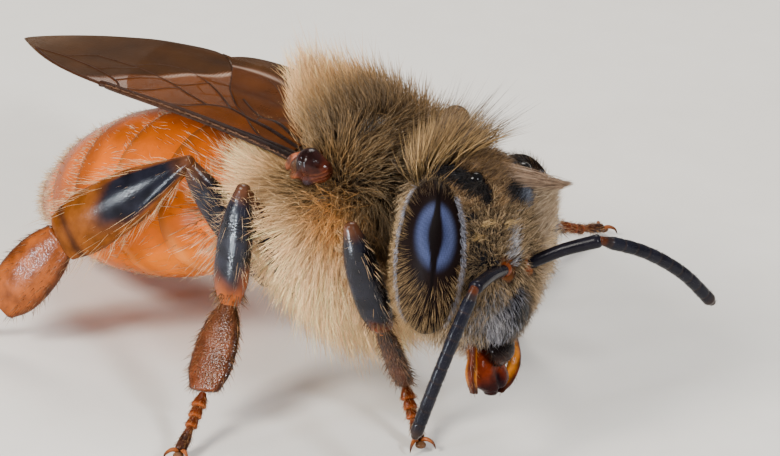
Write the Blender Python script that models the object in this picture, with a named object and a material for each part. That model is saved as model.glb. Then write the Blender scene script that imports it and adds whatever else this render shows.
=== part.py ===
"""Honey bee, a life-size still model standing on six legs.

The frame: +X the way the head points, +Y the bee's left, +Z up, the floor at z = 0.
All sizes below are in millimetres from the middle of the thorax and become metres when
a mesh is made. Each solid is the true outline out to the tips of the hair.
"""
import math

import bmesh
import bpy
import numpy as np
from mathutils import Euler, Vector

MM = 0.001

# Where the middle of the thorax stands over the floor
THORAX = np.array([1.62, -1.42, 3.60])
FLOOR = -THORAX[2]

# Body sizes
THORAX_HALF = (2.40, 2.25, 2.30)
THORAX_DROP = 0.05
HEAD_CENTRE = (2.88, -0.30, 0.08)
HEAD_TURN = (-14.5, -4.0, 12.5)
EYE_HALF = (0.76, 0.52, 1.36)
EYE_SIDE = 1.41
EYE_LEAN = 20.0
GASTER_SIDE = 1.22
TERGITE_STEP = 0.06

# Wing sizes
FOREWING_LENGTH = 9.2
FOREWING_WIDTH = 2.66
WING_THICK = 0.50
HINDWING_SHARES = (0.06, 0.64)
RIGHT_WING_ROOT = (0.10, -1.58, 1.08)
RIGHT_WING_TIP = (-8.98, -0.05, 0.32)
LEFT_WING_ROOT = (0.10, 1.52, 0.72)
REAR_SPREAD = {"right": 0.98, "left": 0.20}
LEFT_WING_TIP = (-8.80, 3.30, -0.80)

# The least thickness of a leg or feeler, and the space kept between neighbours
LEG_HALF = 0.26
GAP = 0.03
FOOT_RISE = 0.235

LEG_SIDES = 8
BODY_SIDES = 28


def clear_scene():
    for item in list(bpy.data.objects):
        bpy.data.objects.remove(item, do_unlink=True)


def surface(name, colour, roughness, metallic=0.0):
    made = bpy.data.materials.new(name)
    made.use_nodes = True
    shader = made.node_tree.nodes["Principled BSDF"]
    shader.inputs["Base Color"].default_value = (*colour, 1.0)
    shader.inputs["Roughness"].default_value = roughness
    shader.inputs["Metallic"].default_value = metallic
    return made


def make(name, points, faces, look):
    """One object from points in millimetres about the thorax, smooth where it is round."""
    mesh = bpy.data.meshes.new(name)
    placed = [tuple((np.array(p) + THORAX) * MM) for p in points]
    mesh.from_pydata(placed, [], faces)
    shape = bmesh.new()
    shape.from_mesh(mesh)
    bmesh.ops.recalc_face_normals(shape, faces=shape.faces)
    shape.to_mesh(mesh)
    shape.free()
    mesh.polygons.foreach_set("use_smooth", [True] * len(mesh.polygons))
    item = bpy.data.objects.new(name, mesh)
    if look is not None:
        mesh.materials.append(look)
    bpy.context.scene.collection.objects.link(item)
    return item


def cutter(name, points, faces):
    item = make("cut_" + name, points, faces, None)
    item.hide_render = True
    item.display_type = "WIRE"
    return item


def take_away(item, other):
    cut = item.modifiers.new("less_" + other.name, "BOOLEAN")
    cut.operation = "DIFFERENCE"
    cut.solver = "EXACT"
    cut.object = other


def unit(v):
    v = np.array(v, float)
    return v / np.linalg.norm(v)


def skin_rings(rings, start, end):
    """A closed skin over rings of equal count; start and end are pole points, or None for a flat end."""
    count = len(rings[0])
    points = [p for ring in rings for p in ring]
    faces = []
    for row in range(len(rings) - 1):
        for i in range(count):
            j = (i + 1) % count
            a = row * count
            b = a + count
            faces.append((a + i, a + j, b + j, b + i))
    last = (len(rings) - 1) * count
    if start is None:
        faces.append(tuple(range(count)))
    else:
        points.append(start)
        faces += [(len(points) - 1, (i + 1) % count, i) for i in range(count)]
    if end is None:
        faces.append(tuple(last + i for i in reversed(range(count))))
    else:
        points.append(end)
        faces += [(len(points) - 1, last + i, last + (i + 1) % count) for i in range(count)]
    return points, faces


def tube(stations, outward, sides, grow=0.0, start_flat=None, end_flat=None):
    """A limb piece through stations (centre, half width, half thickness).

    outward is the way the broad face looks. An end is domed, or flat across the
    direction given for it, so that the next piece can meet it.
    """
    centres = [np.array(s[0], float) for s in stations]
    rings = []
    for k, (_, half_wide, half_thick) in enumerate(stations):
        before = centres[max(k - 1, 0)]
        after = centres[min(k + 1, len(centres) - 1)]
        along = unit(after - before)
        if k == 0 and start_flat is not None:
            along = unit(start_flat)
        if k == len(stations) - 1 and end_flat is not None:
            along = unit(end_flat)
        thin = unit(np.array(outward) - np.dot(outward, along) * along)
        wide = np.cross(along, thin)
        ring = []
        for i in range(sides):
            turn = 2 * math.pi * i / sides
            ring.append(
                centres[k]
                + wide * (half_wide + grow) * math.cos(turn)
                + thin * (half_thick + grow) * math.sin(turn)
            )
        rings.append(ring)
    first = unit(centres[0] - centres[1])
    last = unit(centres[-1] - centres[-2])
    if start_flat is not None and grow:
        rings[0] = [p + first * grow for p in rings[0]]
    if end_flat is not None and grow:
        rings[-1] = [p + last * grow for p in rings[-1]]
    start = None if start_flat is not None else centres[0] + first * (0.55 * stations[0][2] + grow)
    end = None if end_flat is not None else centres[-1] + last * (0.55 * stations[-1][2] + grow)
    return skin_rings(rings, start, end)


def between(a, b, share):
    return np.array(a) + (np.array(b) - np.array(a)) * share


def ellipsoid(centre, half, turn, sides, rows):
    """A rounded body with three half sizes, turned in place."""
    spin = Euler([math.radians(a) for a in turn]).to_matrix()
    rings = []

    for row in range(1, rows):
        tilt = math.pi * row / rows
        ring = []
        for i in range(sides):
            round_by = 2 * math.pi * i / sides
            local = Vector(
                (
                    half[0] * math.sin(tilt) * math.cos(round_by),
                    half[1] * math.sin(tilt) * math.sin(round_by),
                    half[2] * math.cos(tilt),
                )
            )
            ring.append(np.array(centre) + np.array(spin @ local))
        rings.append(ring)
    up = np.array(spin @ Vector((0, 0, half[2])))
    return skin_rings(rings, np.array(centre) + up, np.array(centre) - up)


def head_place(x, y, z):
    """A place on the head, x to the face, y to its left, z to its top."""
    spin = Euler([math.radians(a) for a in HEAD_TURN]).to_matrix()
    return np.array(spin @ Vector((x, y, z))) + np.array(HEAD_CENTRE)


# Head: the shield-shaped capsule with its short hair, wide at the eyes and narrow at the mouth
HEAD_SLICES = (
    # height, half width, half depth, middle of the depth
    (1.62, 0.62, 0.40, 0.00),
    (1.42, 1.10, 0.66, 0.04),
    (1.05, 1.42, 0.84, 0.08),
    (0.50, 1.55, 0.95, 0.12),
    (-0.10, 1.52, 1.00, 0.16),
    (-0.60, 1.36, 0.97, 0.20),
    (-1.10, 1.06, 0.86, 0.26),
    (-1.50, 0.80, 0.66, 0.32),
    (-1.70, 0.62, 0.46, 0.36),
)


def head_shape(grow):
    sides = 24
    rings = []
    for height, wide, deep, middle in HEAD_SLICES:
        ring = []
        for i in range(sides):
            turn = 2 * math.pi * i / sides
            ring.append(
                head_place(
                    middle + (deep + grow) * math.cos(turn),
                    (wide + grow) * math.sin(turn),
                    height * (1 + grow / 1.6),
                )
            )
        rings.append(ring)
    top = head_place(0.0, 0.0, 1.72 + grow)
    foot = head_place(0.38, 0.0, -1.78 - grow)
    return skin_rings(rings, top, foot)


def eye_shape(side, grow):
    centre = head_place(0.08, side * EYE_SIDE, 0.0)
    lean = (HEAD_TURN[0], HEAD_TURN[1], HEAD_TURN[2] + side * EYE_LEAN)
    half = [h + grow for h in EYE_HALF]
    return ellipsoid(centre, half, lean, 18, 11)


def tuft_shape():
    """The peaked lock of hair that stands forward over the left of the brow."""
    root = head_place(0.55, 0.62, 0.75)
    tip = head_place(1.28, 1.02, 1.22)
    stations = [
        (root, 0.34, 0.34),
        (between(root, tip, 0.5), 0.27, 0.27),
        (tip, 0.16, 0.16),
    ]
    return tube(stations, (0.3, 0.0, 1.0), 10)


def build_head(looks):
    head = make("head", *head_shape(0.0), looks["black"])
    tuft = cutter("brow_tuft", *tuft_shape())
    join = head.modifiers.new("brow_tuft", "BOOLEAN")
    join.operation = "UNION"
    join.solver = "EXACT"
    join.object = tuft
    for side, hand in ((1, "left"), (-1, "right")):
        make("eye_" + hand, *eye_shape(side, 0.0), looks["eye"])
        take_away(head, cutter("eye_" + hand, *eye_shape(side, GAP)))
        jaw = [
            (head_place(0.58, side * 0.66, -1.52), 0.27, LEG_HALF),
            (head_place(0.66, side * 0.70, -1.98), 0.27, LEG_HALF),
            (head_place(0.80, side * 0.56, -2.40), 0.26, LEG_HALF),
        ]
        make("mandible_" + hand, *tube(jaw, (1.0, 0.0, 0.0), 10), looks["amber"])
        take_away(head, cutter("mandible_" + hand, *tube(jaw, (1.0, 0.0, 0.0), 10, GAP)))
    lip = [
        (head_place(0.80, 0.0, -1.62), 0.40, LEG_HALF),
        (head_place(0.84, 0.0, -1.86), 0.34, LEG_HALF),
    ]
    tongue = [
        (head_place(0.16, 0.0, -1.66), 0.34, 0.26),
        (head_place(0.14, 0.0, -2.08), 0.32, 0.26),
        (head_place(0.16, 0.0, -2.50), 0.27, 0.25),
    ]
    for name, stations in (("labrum", lip), ("proboscis", tongue)):
        make(name, *tube(stations, (1.0, 0.0, 0.0), 12), looks["red_brown"])
        take_away(head, cutter(name, *tube(stations, (1.0, 0.0, 0.0), 12, GAP)))
    return head


# Feelers: a scape from the face, then the jointed flagellum bent at the elbow
ANTENNAE = {
    "right": {
        "socket": (1.02, -0.36, -0.20),
        "elbow": (4.40, -1.71, 0.27),
        "tip": (3.90, -2.66, -2.43),
    },
    "left": {
        "socket": (1.02, 0.36, -0.20),
        "elbow": (4.82, 0.98, 0.42),
        "tip": (5.48, 3.21, -1.31),
    },
}


def build_antennae(looks, head):
    for hand, place in ANTENNAE.items():
        socket = head_place(*place["socket"])
        elbow = np.array(place["elbow"])
        tip = np.array(place["tip"])
        joint = unit(unit(elbow - socket) + unit(tip - elbow))
        scape = [
            (between(socket, elbow, -0.10), LEG_HALF, LEG_HALF),
            (between(socket, elbow, 0.5), LEG_HALF, LEG_HALF),
            (elbow - 0.005 * joint, LEG_HALF, LEG_HALF),
        ]
        whip = [
            (elbow + 0.005 * joint, LEG_HALF, LEG_HALF),
            (between(elbow, tip, 0.12), LEG_HALF, LEG_HALF),
            (between(elbow, tip, 0.5) + (0.05, 0.0, 0.05), LEG_HALF, LEG_HALF),
            (between(elbow, tip, 0.97), LEG_HALF, LEG_HALF),
        ]
        across = (1.0, 0.0, 0.35)
        name = "antenna_scape_" + hand
        make(name, *tube(scape, across, LEG_SIDES, end_flat=joint), looks["black"])
        make(
            "antenna_flagellum_" + hand,
            *tube(whip, across, LEG_SIDES, start_flat=joint),
            looks["black"],
        )
        take_away(head, cutter(name, *tube(scape, across, LEG_SIDES, GAP, end_flat=joint)))


# Abdomen: overlapping rings from the narrow waist to the tip
GASTER = (
    # along X, height, half height
    (-2.12, -0.75, 0.50),
    (-2.60, -0.88, 1.02),
    (-3.20, -1.05, 1.38),
    (-4.20, -1.32, 1.56),
    (-5.20, -1.60, 1.60),
    (-6.20, -1.93, 1.42),
    (-7.10, -2.27, 1.05),
    (-7.85, -2.60, 0.62),
    (-8.30, -2.84, 0.28),
)
SEGMENT_CUTS = (0.0, 0.225, 0.40, 0.565, 0.72, 0.86, 1.0)


def gaster_at(share):
    """The middle and the half height of the abdomen at a share of its length."""
    table = np.array(GASTER)
    steps = np.linalg.norm(np.diff(table[:, :2], axis=0), axis=1)
    run = np.concatenate([[0.0], np.cumsum(steps)]) / steps.sum()
    x = np.interp(share, run, table[:, 0])
    z = np.interp(share, run, table[:, 1])
    half = np.interp(share, run, table[:, 2])
    return np.array([x, 0.0, z]), half


def gaster_ring(share, shift, step):
    middle, half = gaster_at(share)
    ahead, _ = gaster_at(min(share + 0.02, 1.0))
    behind, _ = gaster_at(max(share - 0.02, 0.0))
    along = unit(ahead - behind)
    up = np.cross(along, (0.0, 1.0, 0.0))
    up = up if up[2] > 0 else -up
    ring = []
    for i in range(BODY_SIDES):
        turn = 2 * math.pi * i / BODY_SIDES
        side = (half + step) * GASTER_SIDE * math.cos(turn)
        rise = (half + step) * math.sin(turn)
        ring.append(middle + along * shift + np.array([0.0, side, 0.0]) + up * rise)
    return ring


def build_abdomen(looks):
    pieces = len(SEGMENT_CUTS) - 1
    made = []
    for k in range(pieces):
        first = SEGMENT_CUTS[k]
        last = SEGMENT_CUTS[k + 1]
        rings = [gaster_ring(first, 0.005 if k else 0.0, -TERGITE_STEP if k else 0.0)]
        for share in (0.34, 0.67):
            rings.append(gaster_ring(first + (last - first) * share, 0.0, 0.0))
        end = None
        if k < pieces - 1:
            rings.append(gaster_ring(last, -0.005, 0.0))
        else:
            rings.append(gaster_ring(last - 0.02, 0.0, -0.05))
            end = gaster_at(1.0)[0] + np.array([-0.16, 0.0, -0.08])
        points, faces = skin_rings(rings, None, end)
        made.append(make("abdomen_%d" % (k + 1), points, faces, looks["orange"]))
    return made


# Wings: thin stiff leaves, the fore wing with the hind wing hooked along its rear edge
def fold_chord(share):
    """Width of the two wings where the hind one is half tucked under."""
    full = FOREWING_WIDTH * math.sin(math.pi * share**1.5) ** 0.8 if share < 1 else 0.0
    return full + 0.50 * (1 - share) ** 6


def chord(share):
    """Width of the fore wing alone: behind its nearer part the hind wing is hooked on."""
    return fold_chord(share) - rear_reach(share)


def whole_chord(share, spread):
    """Width of the two wings with the hind one spread out behind by up to that much."""
    part = min(max((share - 0.02) / 0.58, 0.0), 1.0)
    return fold_chord(share) + spread * math.sin(math.pi * part) ** 0.8


def front_edge(share):
    return -0.22 * math.sin(math.pi * share)


def rear_reach(share):
    """How far the hind wing stands out behind the fore wing."""
    if share < HINDWING_SHARES[0] - 0.02 or share > HINDWING_SHARES[1] + 0.02:
        return 0.0
    part = max(share - HINDWING_SHARES[0], 0.0) / 0.60
    return 0.52 + 0.40 * math.sin(math.pi * min(part, 1.0))


def leaf(name, outline, root, tip, across, look, grow=0.0):
    """A flat leaf from an outline of (along, across) pairs."""
    root = np.array(root)
    along = unit(np.array(tip) - root)
    across = unit(np.array(across) - np.dot(across, along) * along)
    up = np.cross(along, across)
    up = up if up[2] > 0 else -up
    half = WING_THICK / 2 + grow
    middle = np.mean(np.array(outline), axis=0)
    rings = []
    for level in (-half, half):
        ring = []
        for u, v in outline:
            away = np.array([u, v]) - middle
            out = away / (np.linalg.norm(away) + 1e-9) * grow
            ring.append(root + along * (u + out[0]) + across * (v + out[1]) + up * level)
        rings.append(ring)
    points, faces = skin_rings(rings, None, None)
    if look is None:
        return cutter(name, points, faces)
    item = make(name, points, faces, look)
    item.data.polygons.foreach_set("use_smooth", [False] * len(item.data.polygons))
    return item


def forewing_outline():
    front = [i / 13 for i in range(13)] + [0.965, 0.99, 1.0]
    edge = [(u * FOREWING_LENGTH, front_edge(u)) for u in front]
    back = [0.99, 0.965, 0.92, 0.86, 0.80, 0.73, HINDWING_SHARES[1] + 0.025]
    back += [HINDWING_SHARES[1] + 0.015 - 0.06 * i for i in range(11)] + [0.0]
    edge += [(u * FOREWING_LENGTH, front_edge(u) + chord(u)) for u in back]
    return edge


def hindwing_outline(spread):
    first, last = HINDWING_SHARES
    shares = [first + (last - first) * i / 9 for i in range(10)]
    near = [(u * FOREWING_LENGTH, front_edge(u) + chord(u) + GAP) for u in shares]
    far = [(u * FOREWING_LENGTH, front_edge(u) + whole_chord(u, spread)) for u in reversed(shares)]
    return near + far


def build_wings(looks, body, rings):
    hands = (
        ("right", RIGHT_WING_ROOT, RIGHT_WING_TIP, (0.2, 1.0, 0.0)),
        ("left", LEFT_WING_ROOT, LEFT_WING_TIP, (0.1, -1.0, 0.03)),
    )
    for hand, root, tip, across in hands:
        for name, outline in (
            ("forewing_", forewing_outline()),
            ("hindwing_", hindwing_outline(REAR_SPREAD[hand])),
        ):
            leaf(name + hand, outline, root, tip, across, looks["smoke"])
            room = leaf(name + hand, outline, root, tip, across, None, GAP)
            take_away(body, room)
            if hand == "left":
                for ring in rings[:4]:
                    take_away(ring, room)
        side = -1 if hand == "right" else 1
        cap = (0.34, side * 1.86, 1.38)
        half = (0.50, 0.30, 0.36)
        lean = (side * -38.0, 0.0, 0.0)
        make("tegula_" + hand, *ellipsoid(cap, half, lean, 12, 8), looks["red_brown"])
        grown = [h + GAP for h in half]
        take_away(body, cutter("tegula_" + hand, *ellipsoid(cap, grown, lean, 12, 8)))


# Legs: joint places from the body outward, then the sizes of each piece
LEGS = {
    "foreleg_right": (
        (0.75, -0.40, -1.40),
        (1.00, -0.72, -1.80),
        (1.66, -1.97, 0.55),
        (1.93, -1.50, -1.41),
        (2.02, -1.00, -2.70),
        (2.74, -1.36, None),
    ),
    "foreleg_left": (
        (0.75, 0.40, -1.40),
        (1.00, 0.72, -1.80),
        (1.75, 2.52, -0.15),
        (1.45, 3.00, -1.90),
        (0.95, 3.15, -2.95),
        (-0.05, 3.60, None),
    ),
    "midleg_right": (
        (-0.35, -0.55, -1.45),
        (-0.38, -1.05, -1.85),
        (-0.83, -2.21, 0.55),
        (-0.95, -2.47, -1.56),
        (-0.45, -3.60, -2.80),
        (0.03, -4.66, None),
    ),
    "midleg_left": (
        (-0.35, 0.55, -1.45),
        (-0.38, 1.05, -1.85),
        (-0.80, 3.20, -0.30),
        (-0.95, 4.70, -1.75),
        (-1.05, 6.15, -2.92),
        (-1.12, 7.52, None),
    ),
    "hindleg_right": (
        (-1.25, -0.50, -1.35),
        (-1.50, -1.00, -1.75),
        (-2.48, -2.02, 0.52),
        (-4.72, -3.07, -1.35),
        (-5.74, -3.76, -2.86),
        (-6.80, -4.30, None),
    ),
    "hindleg_left": (
        (-1.25, 0.50, -1.35),
        (-1.50, 1.00, -1.75),
        (-2.60, 2.30, 0.10),
        (-4.60, 3.30, -1.75),
        (-5.80, 4.10, -2.90),
        (-6.90, 4.60, None),
    ),
}

LEG_WIDTHS = {
    # half widths: femur middle, tibia middle, tibia end, basitarsus middle
    "foreleg": (0.31, 0.31, 0.28, 0.27),
    "midleg": (0.32, 0.34, 0.32, 0.47),
    "hindleg": (0.36, 0.46, 0.56, 0.58),
}


def leg_shapes(name, grow):
    """The five pieces of one leg, grown all round for a cut."""
    coxa, trochanter, knee, ankle, heel, toe = LEGS[name]
    toe = (toe[0], toe[1], FLOOR + FOOT_RISE)
    femur_wide, tibia_wide, tibia_end, tarsus_wide = LEG_WIDTHS[name.split("_")[0]]
    side = -1.0 if name.endswith("right") else 1.0
    outward = (0.25, side, 0.30)
    at_ankle = unit(unit(np.subtract(ankle, knee)) + unit(np.subtract(heel, ankle)))
    at_heel = unit(unit(np.subtract(heel, ankle)) + unit(np.subtract(toe, heel)))
    step = unit(np.subtract(toe, heel))
    level = unit((step[0], step[1], 0.0))
    thin = LEG_HALF
    pad = np.array(toe) - level * 0.12
    return {
        "coxa": tube(
            [(coxa, 0.42, 0.40), (between(coxa, trochanter, 0.6), 0.36, 0.34), (trochanter, 0.28, thin)],
            outward,
            LEG_SIDES,
            grow,
        ),
        "femur": tube(
            [
                (between(trochanter, knee, 0.05), 0.27, thin),
                (between(trochanter, knee, 0.35), femur_wide, thin + 0.03),
                (between(trochanter, knee, 0.70), femur_wide, thin + 0.03),
                (between(trochanter, knee, 0.94), 0.27, thin),
            ],
            outward,
            LEG_SIDES,
            grow,
        ),
        "tibia": tube(
            [
                (between(knee, ankle, 0.04), 0.27, thin),
                (between(knee, ankle, 0.25), (0.27 + tibia_wide) / 2 + 0.02, thin),
                (between(knee, ankle, 0.55), tibia_wide, thin),
                (between(knee, ankle, 0.88), tibia_end, thin),
                (np.array(ankle) - 0.005 * at_ankle, 0.30 if tibia_end < 0.4 else 0.40, thin),
            ],
            outward,
            LEG_SIDES,
            grow,
            end_flat=at_ankle,
        ),
        "basitarsus": tube(
            [
                (np.array(ankle) + 0.005 * at_ankle, 0.30 if tibia_end < 0.4 else 0.40, thin),
                (between(ankle, heel, 0.22), (tarsus_wide + 0.27) / 2 + 0.02, thin),
                (between(ankle, heel, 0.52), tarsus_wide, thin),
                (between(ankle, heel, 0.82), (tarsus_wide * 2 + 0.27) / 3, thin),
                (np.array(heel) - 0.005 * at_heel, 0.27, thin),
            ],
            outward,
            LEG_SIDES,
            grow,
            start_flat=at_ankle,
            end_flat=at_heel,
        ),
        "foot": tube(
            [
                (np.array(heel) + 0.005 * at_heel, 0.27, thin),
                (between(heel, toe, 0.55), LEG_HALF, thin),
                (pad, 0.27, thin),
                (pad + level * 0.30, 0.29, thin),
            ],
            (0.0, 0.0, 1.0),
            LEG_SIDES,
            grow,
            start_flat=at_heel,
        ),
    }


def stand_flat(points):
    """The sole: whatever reaches the floor is pressed level with it."""
    return [np.array([p[0], p[1], max(p[2], FLOOR)]) for p in points]


def build_legs(looks, body):
    colours = {
        "coxa": "black",
        "femur": "black",
        "tibia": "black",
        "basitarsus": "brown",
        "foot": "tan",
    }
    for name in LEGS:
        shapes = leg_shapes(name, 0.0)
        grown = leg_shapes(name, GAP)
        made = {}
        for piece, (points, faces) in shapes.items():
            if piece == "foot":
                points = stand_flat(points)
            made[piece] = make(name + "_" + piece, points, faces, looks[colours[piece]])
        cuts = {}
        for piece in ("coxa", "femur", "tibia"):
            cuts[piece] = cutter(name + "_" + piece, *grown[piece])
        take_away(made["femur"], cuts["coxa"])
        take_away(made["femur"], cuts["tibia"])
        for cut in cuts.values():
            take_away(body, cut)


def build():
    clear_scene()
    looks = {
        "black": surface("black_shell", (0.020, 0.018, 0.020), 0.32),
        "eye": surface("eye_dark", (0.030, 0.018, 0.014), 0.20),
        "amber": surface("amber_shell", (0.42, 0.17, 0.035), 0.30),
        "red_brown": surface("red_brown_shell", (0.16, 0.035, 0.015), 0.25),
        "coat": surface("tan_coat", (0.46, 0.35, 0.19), 0.85),
        "orange": surface("orange_shell", (0.55, 0.24, 0.07), 0.40),
        "smoke": surface("smoky_wing", (0.16, 0.11, 0.06), 0.25),
        "brown": surface("brown_shell", (0.17, 0.07, 0.03), 0.45),
        "tan": surface("tan_shell", (0.45, 0.18, 0.05), 0.45),
    }
    middle = (0.0, 0.0, -THORAX_DROP)
    body = make(
        "thorax",
        *ellipsoid(middle, THORAX_HALF, (0.0, 0.0, 0.0), BODY_SIDES, 18),
        looks["coat"],
    )
    head = build_head(looks)
    build_antennae(looks, head)
    rings = build_abdomen(looks)
    build_wings(looks, body, rings)
    build_legs(looks, body)
    take_away(body, cutter("head", *head_shape(GAP)))
    for side, hand in ((1, "left"), (-1, "right")):
        take_away(body, cutter("eye_room_" + hand, *eye_shape(side, GAP)))
    waist = skin_rings(
        [gaster_ring(0.0, -0.04, GAP), gaster_ring(0.06, 0.0, GAP), gaster_ring(0.14, 0.0, GAP)],
        None,
        None,
    )
    take_away(body, cutter("waist", *waist))


build()
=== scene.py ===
"""Honey bee, a life-size still model: how each part of it looks.

Lengths are millimetres from the middle of the thorax until a mesh is made.
"""
import math

import bpy
import numpy as np
from mathutils import Euler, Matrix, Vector


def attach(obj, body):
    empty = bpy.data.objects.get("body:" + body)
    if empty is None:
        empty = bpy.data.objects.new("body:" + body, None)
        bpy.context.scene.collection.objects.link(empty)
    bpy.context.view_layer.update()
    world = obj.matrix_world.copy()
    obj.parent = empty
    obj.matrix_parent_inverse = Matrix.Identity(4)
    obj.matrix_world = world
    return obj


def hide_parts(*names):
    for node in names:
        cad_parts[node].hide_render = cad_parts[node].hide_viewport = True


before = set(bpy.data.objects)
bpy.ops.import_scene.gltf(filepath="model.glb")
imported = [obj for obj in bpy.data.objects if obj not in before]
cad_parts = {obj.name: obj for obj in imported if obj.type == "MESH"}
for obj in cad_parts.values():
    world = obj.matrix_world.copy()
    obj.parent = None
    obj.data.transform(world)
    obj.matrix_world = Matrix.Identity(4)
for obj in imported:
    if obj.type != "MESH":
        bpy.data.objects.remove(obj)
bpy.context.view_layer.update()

chance = np.random.default_rng(11)

# ---------------------------------------------------------------------------
# Thorax shell. The middle body of the bee, a hard black box of fused plates that
# holds the wing and leg muscles. It is nearly round, with a shallow furrow behind
# the shield of the back, and shows only as darkness between the hairs.
# ---------------------------------------------------------------------------
MM = 0.001
THORAX = np.array([1.62, -1.42, 3.60])
SHELL_HALF = np.array([1.78, 1.62, 1.66])
SHELL_MIDDLE = np.array([0.0, 0.0, -0.05])


def unit(v):
    """Ways of length 1."""
    v = np.asarray(v, float)
    return v / np.maximum(np.linalg.norm(v, axis=-1, keepdims=True), 1e-12)


def step(low, high, x):
    """0 below low, 1 above high and smooth between."""
    t = np.clip((np.asarray(x, float) - low) / (high - low), 0.0, 1.0)
    return t * t * (3 - 2 * t)


def hump(*offs):
    """1 where every one of the offs is 0, fading smoothly to nothing as they pass 1."""
    return np.exp(-sum(off**2 for off in offs))


def loft(rings, start, end):
    """Points and faces of a closed skin over rings of equal count, with a pole point at each end."""
    rings = np.asarray(rings, float)
    rows, count = rings.shape[:2]
    points = np.concatenate([rings.reshape(-1, 3), [start, end]])
    i = np.arange(count)
    j = (i + 1) % count
    faces = []
    for row in range(rows - 1):
        low = row * count
        high = low + count
        faces += np.stack([i + low, j + low, j + high, i + high], 1).tolist()
    pole = rows * count
    last = (rows - 1) * count
    faces += [[pole, int(b), int(a)] for a, b in zip(i, j)]
    faces += [[pole + 1, int(last + a), int(last + b)] for a, b in zip(i, j)]
    # the faces look out of the skin when the volume inside it comes out above 0
    inside = points.mean(0)
    a, b, c, d = (points[np.array([face[k] for face in faces])] - inside for k in (0, 1, 2, -1))
    volume = (a * np.cross(b, c)).sum() + (a * np.cross(c, d)).sum()
    return points, faces if volume > 0 else [face[::-1] for face in faces]


def paint(mesh, tint, cover=1.0):
    """Paints a colour, and how opaque it is, at each point of a mesh."""
    rgba = np.ones((len(mesh.vertices), 4), np.float32)
    rgba[:, :3] = tint
    rgba[:, 3] = cover
    mesh.color_attributes.new("tint", "FLOAT_COLOR", "POINT").data.foreach_set("color", rgba.ravel())


def piece(name, points, faces, look, tint, stands_for=(), cover=1.0):
    """A named mesh on the model, with one tint for all of it or a tint for each point."""
    mesh = bpy.data.meshes.new(name)
    mesh.from_pydata(((np.asarray(points) + THORAX) * MM).tolist(), [], faces)
    mesh.validate()
    mesh.polygons.foreach_set("use_smooth", [True] * len(mesh.polygons))
    paint(mesh, tint, cover)
    mesh.materials.append(look)
    item = bpy.data.objects.new(name, mesh)
    bpy.context.scene.collection.objects.link(item)
    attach(item, "root")
    if stands_for:
        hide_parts(*stands_for)


def tinted_look(name):
    """A new material's nodes, links and skin, where a point lies on the piece, and its painted tint."""
    made = bpy.data.materials.new(name)
    made.use_nodes = True
    nodes = made.node_tree.nodes
    place = nodes.new("ShaderNodeTexCoord").outputs["Object"]
    tint = nodes.new("ShaderNodeVertexColor")
    tint.layer_name = "tint"
    return nodes, made.node_tree.links, nodes["Principled BSDF"], place, tint


def noise(nodes, links, place, scale, detail):
    """A cloudy noise over the piece; its values lie mostly between 0.3 and 0.7."""
    cloud = nodes.new("ShaderNodeTexNoise")
    cloud.inputs["Scale"].default_value = scale
    cloud.inputs["Detail"].default_value = detail
    links.new(place, cloud.inputs["Vector"])
    return cloud.outputs["Fac"]


def cells(nodes, links, place, scale, randomness=1.0):
    """How far each point is from the middle of its own small cell."""
    grain = nodes.new("ShaderNodeTexVoronoi")
    grain.inputs["Scale"].default_value = scale
    grain.inputs["Randomness"].default_value = randomness
    links.new(place, grain.inputs["Vector"])
    return grain.outputs["Distance"]


def carry(nodes, links, value, span, onto):
    """A value carried from one span onto another."""
    ramp = nodes.new("ShaderNodeMapRange")
    ramp.inputs["From Min"].default_value = span[0]
    ramp.inputs["From Max"].default_value = span[1]
    ramp.inputs["To Min"].default_value = onto[0]
    ramp.inputs["To Max"].default_value = onto[1]
    links.new(value, ramp.inputs["Value"])
    return ramp.outputs["Result"]


def colour_skin(nodes, links, skin, tint, strength):
    """Gives the skin its painted tint, made paler or darker from place to place."""
    scaled = nodes.new("ShaderNodeVectorMath")
    scaled.operation = "SCALE"
    links.new(tint.outputs["Color"], scaled.inputs[0])
    links.new(strength, scaled.inputs["Scale"])
    links.new(scaled.outputs["Vector"], skin.inputs["Base Color"])


def emboss(nodes, links, skin, height, strength, depth):
    """Raises the skin by a height, at most by the depth in metres."""
    bump = nodes.new("ShaderNodeBump")
    bump.inputs["Strength"].default_value = strength
    bump.inputs["Distance"].default_value = depth
    links.new(height, bump.inputs["Height"])
    links.new(bump.outputs["Normal"], skin.inputs["Normal"])
    return bump


def shell_look(name, rough, gleam, shade, patch=2500.0, grain=26000.0, depth=6e-6):
    """Insect cuticle: the painted tint, mottled, with a fine pitted grain and an uneven polish."""
    nodes, links, skin, place, tint = tinted_look(name)
    blotch = noise(nodes, links, place, patch, 5.0)
    colour_skin(nodes, links, skin, tint, carry(nodes, links, blotch, (0.3, 0.7), shade))
    polish = carry(nodes, links, blotch, (0.3, 0.7), (rough * 0.75, rough * 1.35))
    links.new(polish, skin.inputs["Roughness"])
    emboss(nodes, links, skin, cells(nodes, links, place, grain), 0.6, depth)
    skin.inputs["Specular IOR Level"].default_value = gleam
    return bpy.data.materials[name]


def ball(count, rows, half=1.0):
    """Points in rings from pole to pole of a ball of those half widths, with its two poles."""
    tilt = np.pi * np.arange(1, rows)[:, None] / rows
    turn = 2 * np.pi * np.arange(count)[None, :] / count
    rings = np.stack([np.sin(tilt) * np.cos(turn), np.sin(tilt) * np.sin(turn), np.cos(tilt) + 0 * turn], -1)
    return rings * half, np.array([0.0, 0, 1]) * half, np.array([0.0, 0, -1]) * half


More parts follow.
